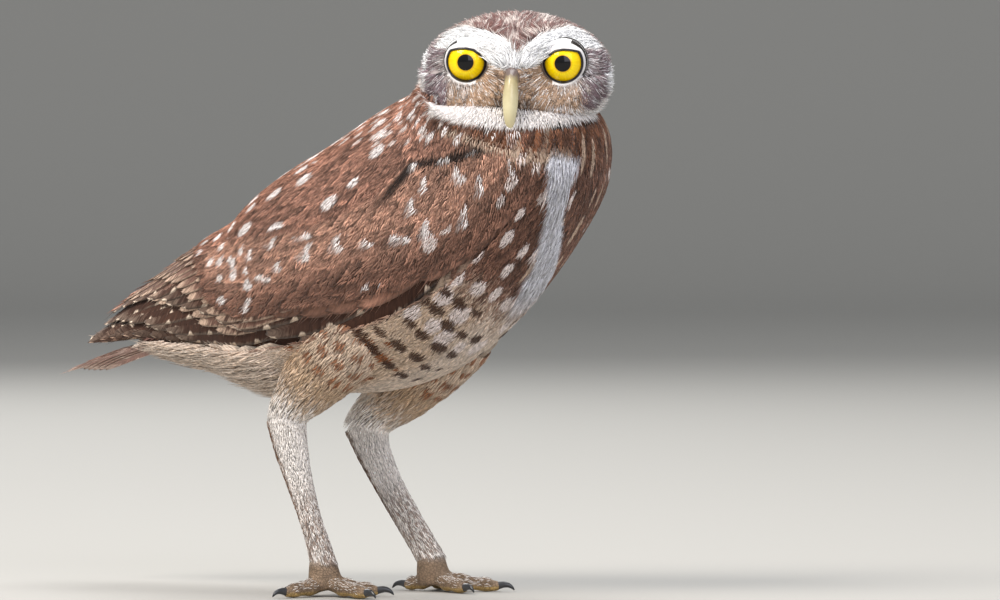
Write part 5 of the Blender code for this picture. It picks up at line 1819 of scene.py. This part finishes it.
@dataclass
class HeadCoat:
    """The fine feathers of crown, nape, brows, facial disc and chin."""

    head: HeadForm
    pattern: Pattern
    feather_places: int = 1700
    hair_places: int = 29500
    streaks: int = 560
    disc_from: float = 9.0             # millimetres forward of the head's middle, where the disc begins
    hairs_from: float = -26.0          # no hairs behind this, inside the neck
    eye_room: float = 7.0              # millimetres round an eye without feathers
    bill_from: float = 15.0            # no feathers in front of this between these sides and heights
    bill_sides: tuple[float, float] = (-2.1, 2.7)
    bill_heights: tuple[float, float] = (-16.0, 2.6)

    def lie(self, points: Array) -> Array:
        """Which way the feathers point: out from each eye in the disc, along the brows, and back over
        the head elsewhere.

        Args:
            points: places on the head, in its frame.

        Returns:
            Unit directions along the surface.
        """
        side = np.where(points[..., 1:2] < self.head.aside, -1.0, 1.0)
        ones = np.ones_like(side)
        out = np.stack([points[..., 0] - self.head.eye[0], points[..., 1] - self.head.aside
                        - side[..., 0] * self.head.eye[1], points[..., 2] - self.head.eye[2]], -1)
        out = out * np.array([0.3, 1.0, 1.0])
        near = soft_step(-np.linalg.norm(out[..., 1:], axis=-1, keepdims=True) / MM, -19, -12)
        near = near * soft_step(points[..., :1] / MM, 8, 15)
        back = np.concatenate([-ones, 0.25 * side, -0.5 * soft_step(-points[..., :1] / MM, -6, 16)], -1)
        brow = self.pattern.head_zones(points)["brow"][..., None]
        way = unit(out) * near + back * (1 - near)
        apart = np.clip((points[..., 1:2] - self.head.aside) / (5 * MM), -1, 1)
        way = way * (1 - brow) + np.concatenate([0 * side, 0.8 * apart, 0.6 * ones], -1) * brow
        normal = self.head.outward(points)
        return unit(way - normal * (way * normal).sum(-1, keepdims=True))

    def places(self, count: int, rng: np.random.Generator) -> Array:
        """Even places all over the head, by the golden angle, clear of the eyes and the bill."""
        i = np.arange(count) + 0.5
        height = 1 - 2 * i / count
        turn = np.pi * (1 + 5 ** 0.5) * i
        ring = np.sqrt(1 - height ** 2)
        way = np.stack([height, ring * np.cos(turn), ring * np.sin(turn)], -1)
        points = self.head.settle(way + rng.normal(0, 0.35 / math.sqrt(count), way.shape))
        x, y, z = (points[:, i] / MM for i in range(3))
        (right, left), (low, high) = self.bill_sides, self.bill_heights
        bill = (x > self.bill_from) & (y > right) & (y < left) & (z < high) & (z > low)
        eye = (x > 5) & (self.head.from_lids(points) < self.eye_room)
        return points[~eye & ~bill]

    def feathers(self, name: str, points: Array, size: tuple[float, float], lift: float,
                 seed: int) -> tuple[str, MeshArrays]:
        """Small feathers of one tone each.

        Args:
            name: of the piece.
            points: their roots.
            size: length and half width in millimetres.
            lift: height of the tips over the head in millimetres.
            seed: for their variety.

        Returns:
            The name and the mesh.
        """
        rng = np.random.default_rng(seed)
        count = len(points)
        way = self.lie(points)
        way = unit(way + np.cross(self.head.outward(points), way) * rng.normal(0, 0.1, (count, 1)))
        colour = self.pattern.head_tone(points + way * 2 * MM)[0] * rng.uniform(0.82, 1.16, (count, 1))
        marks = Marks.plain(colour, colour)
        depth = np.array([0.9, -lift]) * MM + rng.uniform(-0.1, 0.1, (count, 2)) * MM
        return name, HeadFeathers(
            head=self.head, root=points, way=way, length=size[0] * MM * rng.uniform(0.8, 1.2, count),
            half=size[1] * MM * rng.uniform(0.85, 1.15, count), depth=depth, shape=SMALL_CUT, marks=marks,
            seed=seed).arrays()

    def hairs(self, name: str, points: Array, length: float, half: float, lift: float,
              seed: int) -> tuple[str, MeshArrays]:
        """Hair-like feathers, which give the head its combed look. Those near one of a few hundred places
        of the crown are pale, which draws its streaks.

        Args:
            name: of the piece.
            points: their roots.
            length: millimetres.
            half: half width in millimetres.
            lift: slope at the root.
            seed: for their variety.

        Returns:
            The name and the mesh.
        """
        rng = np.random.default_rng(seed)
        count = len(points)
        way, normal, axes = self.lie(points), self.head.outward(points), self.head.axes
        colour, streaked = self.pattern.head_tone(points + way * 0.4 * length * MM)
        streak = np.zeros(count)
        across = np.cross(normal, way)
        for middle in self.places(self.streaks, rng):
            gap = (points - middle) / MM
            off = ((gap * across).sum(-1) / 0.4) ** 2 + ((gap * way).sum(-1) / 1.3) ** 2
            streak = np.maximum(streak, np.exp(-off))
        colour = blend(colour, Tone.CROWN_STREAK.linear, np.clip(1.6 * streak, 0, 1) * streaked)
        colour = blend(colour, Tone.BROW.linear, 0.55 * (rng.uniform(0, 1, count) > 0.7) * (1 - streaked))
        colour = colour * rng.uniform(0.72, 1.25, (count, 1))
        way = unit(way + rng.normal(0, 0.06, way.shape))
        return name, Locks(self.head.to_world(points - normal * 0.2 * MM), way @ axes.T, normal @ axes.T,
                           length * MM * rng.uniform(0.7, 1.3, count), np.full(count, half * MM),
                           rng.uniform(0.6, 1.4, count) * lift, self.head.unwrap(points),
                           Marks.plain(colour, colour), seed=seed).arrays()

    def make(self) -> list[tuple[str, MeshArrays]]:
        """Crown and nape, then the disc, each with its hairs over it."""
        rng = np.random.default_rng(71)
        few, many = self.places(self.feather_places, rng), self.places(self.hair_places, rng)
        few_x, many_x = few[:, 0] / MM, many[:, 0] / MM
        crown = many[(many_x <= self.disc_from) & (many_x > self.hairs_from)]
        return [self.feathers("crown", few[few_x <= self.disc_from], (7.0, 2.0), 0.2, 72),
                self.feathers("disc", few[few_x > self.disc_from], (5.0, 1.4), 0.1, 73),
                self.hairs("crown_hairs", crown, 5.0, 0.2, 0.28, 74),
                self.hairs("disc_hairs", many[many_x > self.disc_from], 4.2, 0.18, 0.25, 75)]


@dataclass(kw_only=True)
class TailFeathers(Feathers):
    """Feathers of the tail: they run along its line, spread to their own side and droop towards it."""

    side: Array
    start: Array
    line: Array
    spread: tuple[float, float]
    arch: float = 2.8                  # millimetres, highest halfway along
    droop: float = 2.4                 # millimetres by which the outer ones lie lower

    def place(self, u: Array, y: Array, sink: Array) -> Array:
        """The line rises by the arch times the sine of pi times the way along it."""
        side = self.side[:, None]
        along = (1 - 0.07 * side ** 2) * u
        across = side * (self.spread[0] + (self.spread[1] - self.spread[0]) * along) + y
        rise = (self.arch * np.sin(np.pi * np.clip(along, 0, 1)) - self.droop * np.abs(side)) * MM - sink
        return self.start + self.line * along[..., None] + np.stack([0 * along, across, rise], -1)


TAIL_COUNT = 12
TAIL_ENDS = ((-66.0, 0.0, 86.0), (-121.0, 0.0, 74.0))      # millimetres from the line of the feet
TAIL_CUT = BladeShape(20, 7, 0.6, 0.1, 8.0, 0.3 * MM, 0.3 * MM, 0.04, 8, 0.12 * MM, 0.04)


def tail_feathers() -> MeshArrays:
    """The tail's feathers in a narrow stack, the middle ones on top."""
    count = TAIL_COUNT
    start, tip = (np.array(end) * MM + ORIGIN_SHIFT for end in TAIL_ENDS)
    side = np.linspace(-1, 1, count)
    marks = Marks.plain(Tone.TAIL.rows(count), Tone.TAIL_BAR.linear, (0.75, 0.5, 11.0))
    patch = np.stack([np.full(count, 0.04), np.linspace(0.1, 0.9, count)], -1)
    return TailFeathers(side=side, start=start, line=tip - start, spread=(6 * MM, 12 * MM), patch=patch,
                        half=np.full(count, 5 * MM), length=np.full(count, 56 * MM),
                        depth=np.zeros((count, 2)), shape=TAIL_CUT, marks=marks,
                        tilt=0.25 * MM * np.sign(side), seed=81).arrays()


# Forward, up, half width and half depth in the head's frame, in millimetres
UPPER_BILL = ((20.5, 1.4, 3.3, 2.6), (25.0, 0.6, 2.8, 3.0), (28.0, -2.0, 2.3, 3.3), (29.8, -6.2, 2.6, 3.0),
              (30.4, -11.0, 2.3, 2.5), (29.8, -15.4, 1.4, 1.6), (28.7, -18.0, 0.15, 0.2))
LOWER_BILL = ((19.5, -12.0, 2.6, 1.9), (23.2, -12.6, 2.3, 1.7), (26.2, -14.2, 1.6, 1.1),
              (27.4, -15.6, 0.4, 0.4))
# Lower edge of the upper lid: millimetres up by millimetres away from the bill
LID_LINE = Curve((-6.2, -4.9, -2.3, 0, 2.3, 7.7), (0, 1.9, 3.8, 4.2, 4.1, 3))
# Rings of the lids: share of the way from the opening to the rim, and millimetres raised. The last three
# turn under the feathers.
LID_RINGS = ((0.0, 0.05), (0.0, 0.4), (0.05, 0.6), (0.18, 0.45), (0.34, 0.25), (0.65, 0.1), (1.0, 0.0),
             (1.0, -1.0), (0.6, -2.6), (0.15, -4.4))


@dataclass
class Face:
    """Eyes, lids and bill."""

    head: HeadForm
    turn_out: float = math.radians(1.0)
    opening: float = 6.0 * MM
    rim: float = 7.9 * MM              # radii of the lids' opening and outer rim

    def eye_axes(self, side: float) -> tuple[Array, Array]:
        """Middle of an eye, and its axes: the line of sight, the side away from the bill, and up.

        Args:
            side: 1 for the bird's left, -1 for its right.

        Returns:
            The middle and a matrix of columns, in the head's frame.
        """
        turn = side * self.turn_out
        axes = np.array([[math.cos(turn), -side * math.sin(turn), 0],
                         [math.sin(turn), side * math.cos(turn), 0], [0, 0, 1.0]])
        return self.head.eye_middle(side), axes

    def eyeball(self, side: float) -> MeshArrays:
        """A ball whose rings circle the line of sight, with the clear bulge of the cornea in front.

        Args:
            side: 1 for the bird's left, -1 for its right.

        Returns:
            The mesh, with its share of the iris's radius and its turn in the lay attribute.
        """
        middle, axes = self.eye_axes(side)
        away = np.concatenate([np.linspace(0.02, 1.1, 44), np.linspace(1.16, np.pi - 0.05, 20)])[:, None]
        turn = np.linspace(0, 2 * np.pi, 64, endpoint=False)[None]
        radius = self.head.eye_radius * (1 + 0.03 * np.exp(-(away / 0.55) ** 2))
        across = radius * np.sin(away)
        local = np.stack([radius * np.cos(away) + 0 * turn, across * np.cos(turn),
                          across * np.sin(turn)], -1)
        arrays = tube_arrays(self.head.to_world(local @ axes.T + middle))
        share = np.where(away > np.pi / 2, 2.0, across / EyeFinish().iris) + 0 * turn
        lay = np.stack([share, turn + 0 * away, 0 * share], -1).reshape(-1, 3)
        arrays.vectors["lay"] = np.concatenate([lay, [[0, 0, 0], [2, 0, 0]]])
        return arrays

    def lids(self, side: float) -> MeshArrays:
        """Skin from a slanted opening out to the head, with a raised lip. The opening is a circle, cut
        above by the line of the upper lid, which falls towards the bill.

        Args:
            side: 1 for the bird's left, -1 for its right.

        Returns:
            The mesh, with the way out from the lip in the lay attribute.
        """
        middle, axes = self.eye_axes(side)
        turn = np.linspace(0, 2 * np.pi, 120, endpoint=False)[:, None]
        reach = np.linspace(0, self.opening, 400)[None]
        covered = reach * np.sin(turn) > LID_LINE(reach * np.cos(turn) / MM) * MM
        inner = np.where(covered.any(1), reach[0, covered.argmax(1)], self.opening)
        inner = (inner + np.roll(inner, 1) + np.roll(inner, -1))[:, None] / 3
        share, raised = (np.array([column]) for column in zip(*LID_RINGS))
        raised = raised * MM
        away = inner + (self.rim - inner) * share
        ball = np.sqrt(np.maximum(self.head.eye_radius ** 2 - away ** 2, 0))
        flat = np.stack([0 * away, away * np.cos(turn), away * np.sin(turn)], -1)
        on_head = self.head.settle(flat @ axes.T + middle + np.array([6.0, 0, 0]) * MM)
        sit = ((on_head - middle) @ axes)[..., 0]
        onto = np.maximum(ball, sit - 0.35 * MM)
        flat[..., 0] = ball + (onto - ball) * soft_step(share, 0.02, 0.3) + raised
        points = self.head.to_world(flat @ axes.T + middle).reshape(-1, 3)
        arrays = MeshArrays(points, grid_faces(121, share.size, True) % len(points))
        far = np.clip((away - inner) / (3 * MM) + (raised < -0.5 * MM), 0, 1).ravel()
        arrays.vectors["lay"] = np.stack([far, 0 * far, 0 * far], -1)
        return arrays

    def mandible(self, rows: Any, keel: float, nostril: float) -> MeshArrays:
        """One half of the bill, ovals carried along its curve, with a keel along the ridge.

        Args:
            rows: forward, up, half width and half depth in the head's frame, in millimetres.
            keel: how far the ridge stands out of the oval, as a share of its depth.
            nostril: how deep the nostrils are, as a share of the radius.

        Returns:
            The mesh.
        """
        t = np.linspace(0, len(rows) - 1, 64)
        row = smooth_rows(np.asarray(rows, float) * MM, t)
        path = np.stack([row[:, 0], 0.5 * self.head.aside + row[:, 1] * 0.02, row[:, 1]], -1)
        ahead = unit(np.gradient(path, axis=0))
        over = -np.cross(ahead, np.array([0.0, 1.0, 0.0]))
        turn = np.linspace(-np.pi, np.pi, 48, endpoint=False)[None]
        ridge = 1 + keel * np.exp(-(turn / 0.5) ** 2)
        hole = nostril * np.exp(-((t[:, None] - 1.2) / 0.2) ** 2 - ((np.abs(turn) - 1.1) / 0.26) ** 2)
        aside = np.sin(turn) * row[:, 2:3] * (1 - hole)
        above = np.cos(turn) * row[:, 3:4] * ridge * (1 - hole)
        rings = (path[:, None] + np.array([0.0, 1.0, 0.0]) * aside[..., None]
                 + over[:, None] * above[..., None])
        return tube_arrays(self.head.to_world(rings), t / t[-1])


@dataclass
class Claw:
    """One curved claw on its toe."""

    toe: ToeForm
    length: float = 8.3 * MM
    half: float = 1.35 * MM
    curl: float = 1.25                 # radians that its line turns through

    def make(self) -> MeshArrays:
        """An arc that drops to the floor, with a round section that tapers to a point."""
        start = self.toe.middle(np.array(1.0)) - self.toe.way * 0.8 * MM
        share = np.linspace(0, 1, 28)
        path = start + self.toe.way * (np.sin(share * self.curl) * self.length / self.curl)[:, None]
        path[:, 2] += 0.9 * MM * np.sin(share * np.pi) - (start[2] - 0.55 * MM) * share ** 1.6
        over = np.cross(unit(np.gradient(path, axis=0)), self.toe.side)
        turn = np.linspace(0, 2 * np.pi, 16, endpoint=False)[None]
        size = (self.half * (1 - share) ** 0.7 + 0.08 * MM)[:, None, None]
        rings = path[:, None] + size * (self.toe.side * np.sin(turn)[..., None] * 0.85
                                        + over[:, None] * np.cos(turn)[..., None])
        return tube_arrays(rings, share)


# The stage


# Each lamp's name, place, size in metres, watts and colour
LAMPS = (
    ("key", (-0.4, -1.4, 1.7), 1.0, 46.0, "#FFF8F0"), ("fill", (1.6, -1.2, 0.9), 1.4, 18.0, "#F6F4FF"),
    ("top", (0.0, 0.3, 1.8), 1.2, 25.0, "#FFFFFF"), ("back", (-1.2, 1.2, 1.0), 0.9, 12.0, "#FFFFFF"))


@dataclass
class Stage:
    """A plain pale floor that sweeps up behind, soft lights, and the camera."""

    azimuth: float = math.radians(30.0)
    elevation: float = math.radians(1.6)
    distance: float = 3.0
    picture_px: tuple[int, int] = (1000, 600)
    metres_per_px: float = 0.335 * MM
    origin_px: tuple[int, int] = (382, 594)        # where the bird's own origin, between its feet, lies
    sensor: float = 36.0               # millimetres
    floor_from: float = -5.0           # metres from the bird to the floor's near edge, away from the camera
    floor_long: float = 8.3            # metres to where the sweep begins
    floor_half: float = 7.0            # half width
    sweep: float = 0.8                 # its radius
    wall: float = 2.4                  # height above the sweep

    def floor(self) -> None:
        """A sheet that is flat under the bird and curves up into a backdrop behind it."""
        u = np.linspace(0, 1, 60)[:, None]
        v = np.linspace(-1, 1, 20)[None]
        bend = np.clip((u - 0.6) / 0.2, 0, 1) * np.pi / 2
        run = self.floor_from + self.floor_long * np.minimum(u / 0.6, 1) + self.sweep * np.sin(bend) + 0 * v
        rise = self.sweep * (1 - np.cos(bend)) + self.wall * np.clip((u - 0.8) / 0.2, 0, 1) + 0 * v
        back = np.array([-math.sin(self.azimuth), math.cos(self.azimuth), 0])
        side = np.array([math.cos(self.azimuth), math.sin(self.azimuth), 0])
        points = back * run[..., None] + side * (self.floor_half * v + 0 * u)[..., None]
        points = points + np.stack([0 * run, 0 * run, rise], -1)
        sheet = MeshArrays(points.reshape(-1, 3), grid_faces(60, 20, False))
        sheet.faces = sheet.faces[:, ::-1]     # an open sheet: it faces the bird
        obj = sheet.build("studio_floor")
        bench = NodeBench("pale_paper")
        grain = bench.add("TexNoise", bench.add("TexCoord", out="Object"), None, 900.0)
        obj.data.materials.append(bench.finish(hexed("#A8A6A1"), grain, 0.03, Roughness=0.9))
        obj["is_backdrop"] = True

    def camera(self) -> None:
        """Places the camera so that its middle falls on the photograph's middle."""
        side = np.array([math.cos(self.azimuth), math.sin(self.azimuth), 0])
        right = (self.picture_px[0] / 2 - self.origin_px[0]) * self.metres_per_px
        up = (self.origin_px[1] - self.picture_px[1] / 2) * self.metres_per_px
        aim = side * right + np.array([0, 0, up]) + ORIGIN_SHIFT
        away = np.array([math.sin(self.azimuth) * math.cos(self.elevation),
                         -math.cos(self.azimuth) * math.cos(self.elevation), math.sin(self.elevation)])
        data = bpy.data.cameras.new("camera")
        data.sensor_width = self.sensor
        data.lens = self.sensor * self.distance / (self.picture_px[0] * self.metres_per_px)
        data.clip_end = 20.0
        obj = bpy.data.objects.new("camera", data)
        obj.location = Vector(aim + away * self.distance)
        obj.rotation_euler = Vector(-away).to_track_quat("-Z", "Y").to_euler()
        bpy.context.scene.collection.objects.link(obj)
        bpy.context.scene.camera = obj

    def light(self, name: str, place: tuple[float, float, float], size: float, power: float,
              colour: str) -> None:
        """One soft square light that faces the bird."""
        data = bpy.data.lights.new(name, "AREA")
        data.shape = "SQUARE"
        data.size, data.energy = size, power
        data.color = hexed(colour)
        obj = bpy.data.objects.new(name, data)
        obj.location = place
        obj.rotation_euler = (Vector((0, 0, 0.1)) - Vector(place)).to_track_quat("-Z", "Y").to_euler()
        bpy.context.scene.collection.objects.link(obj)

    def make(self) -> None:
        """Floor, camera, lights and the soft light from all round, shown without a film curve."""
        self.floor()
        self.camera()
        for lamp in LAMPS:
            self.light(*lamp)
        world = bpy.data.worlds.new("studio")
        bpy.context.scene.world = world
        world.use_nodes = True
        world.node_tree.nodes["Background"].inputs[0].default_value = (*hexed("#DDE3EA"), 1)
        world.node_tree.nodes["Background"].inputs[1].default_value = 0.55
        bpy.context.scene.view_settings.view_transform = "Standard"


def dress(name: str, arrays: MeshArrays, finish: bpy.types.Material, slot: str) -> bpy.types.Object:
    """Makes a piece, gives it its finish and fixes it to the bird.

    Args:
        name: the piece's name.
        arrays: its mesh.
        finish: its material.
        slot: the record's material slot. Not used.

    Returns:
        The object.
    """
    obj = arrays.build(name)
    obj.data.materials.append(finish)
    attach(obj, "root")
    LOG.info("%s: %d faces", name, len(arrays.faces))
    return obj


def main(cad_box: Any) -> None:
    """Builds the bird and the stage, and logs how many faces each piece has.

    Args:
        cad_box: the box of the solids. Not used.
    """
    Stage().make()
    body, head = BodyForm(), HeadForm()
    pattern = Pattern(body, head)
    legs = [Legs("right"), Legs("left")]
    plumage = PlumageFinish().material()
    skin = Skin(body, head, legs, pattern).make(SkinFinish().material())
    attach(skin, "root")
    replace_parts(skin, *FLESH_NODES)
    LOG.info("skin: %d faces", len(skin.data.polygons))
    coats = ((Wings(body, pattern).make(), "brown_plumage"),
             (BodyCoat(body, pattern).make(), "buff_plumage"),
             (HeadCoat(head, pattern).make(), "head_plumage"),
             ([("tail_feathers", tail_feathers())], "brown_plumage"),
             (Down(body, pattern, legs).make(), "leg_plumage"))
    for pieces, slot in coats:
        for name, arrays in pieces:
            dress(name, arrays, plumage, slot)
    face = Face(head)
    finishes = (EyeFinish(), LID_SKIN, BILL_KERATIN, CLAW_KERATIN)
    eye, lid, horn, claw_horn = (finish.material() for finish in finishes)
    for word, side in (("left", 1.0), ("right", -1.0)):
        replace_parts(dress(f"eyeball_{word}", face.eyeball(side), eye, "eye"), f"eye_{word}")
        dress(f"lids_{word}", face.lids(side), lid, "toe_skin")
    upper = dress("upper_mandible", face.mandible(UPPER_BILL, 0.12, 0.35), horn, "bill_horn")
    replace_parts(upper, "bill_upper")
    lower = dress("lower_mandible", face.mandible(LOWER_BILL, 0.0, 0.0), horn, "bill_horn")
    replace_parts(lower, "bill_lower")
    for leg in legs:
        for number, toe in leg.toes.items():
            claw = dress(f"claw_tip_{leg.side}_{number}", Claw(toe).make(), claw_horn, "claw_horn")
            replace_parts(claw, f"claw_{leg.side}_{number}")


if __name__ == "__main__":
    logging.basicConfig(level=logging.INFO)
    main(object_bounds())
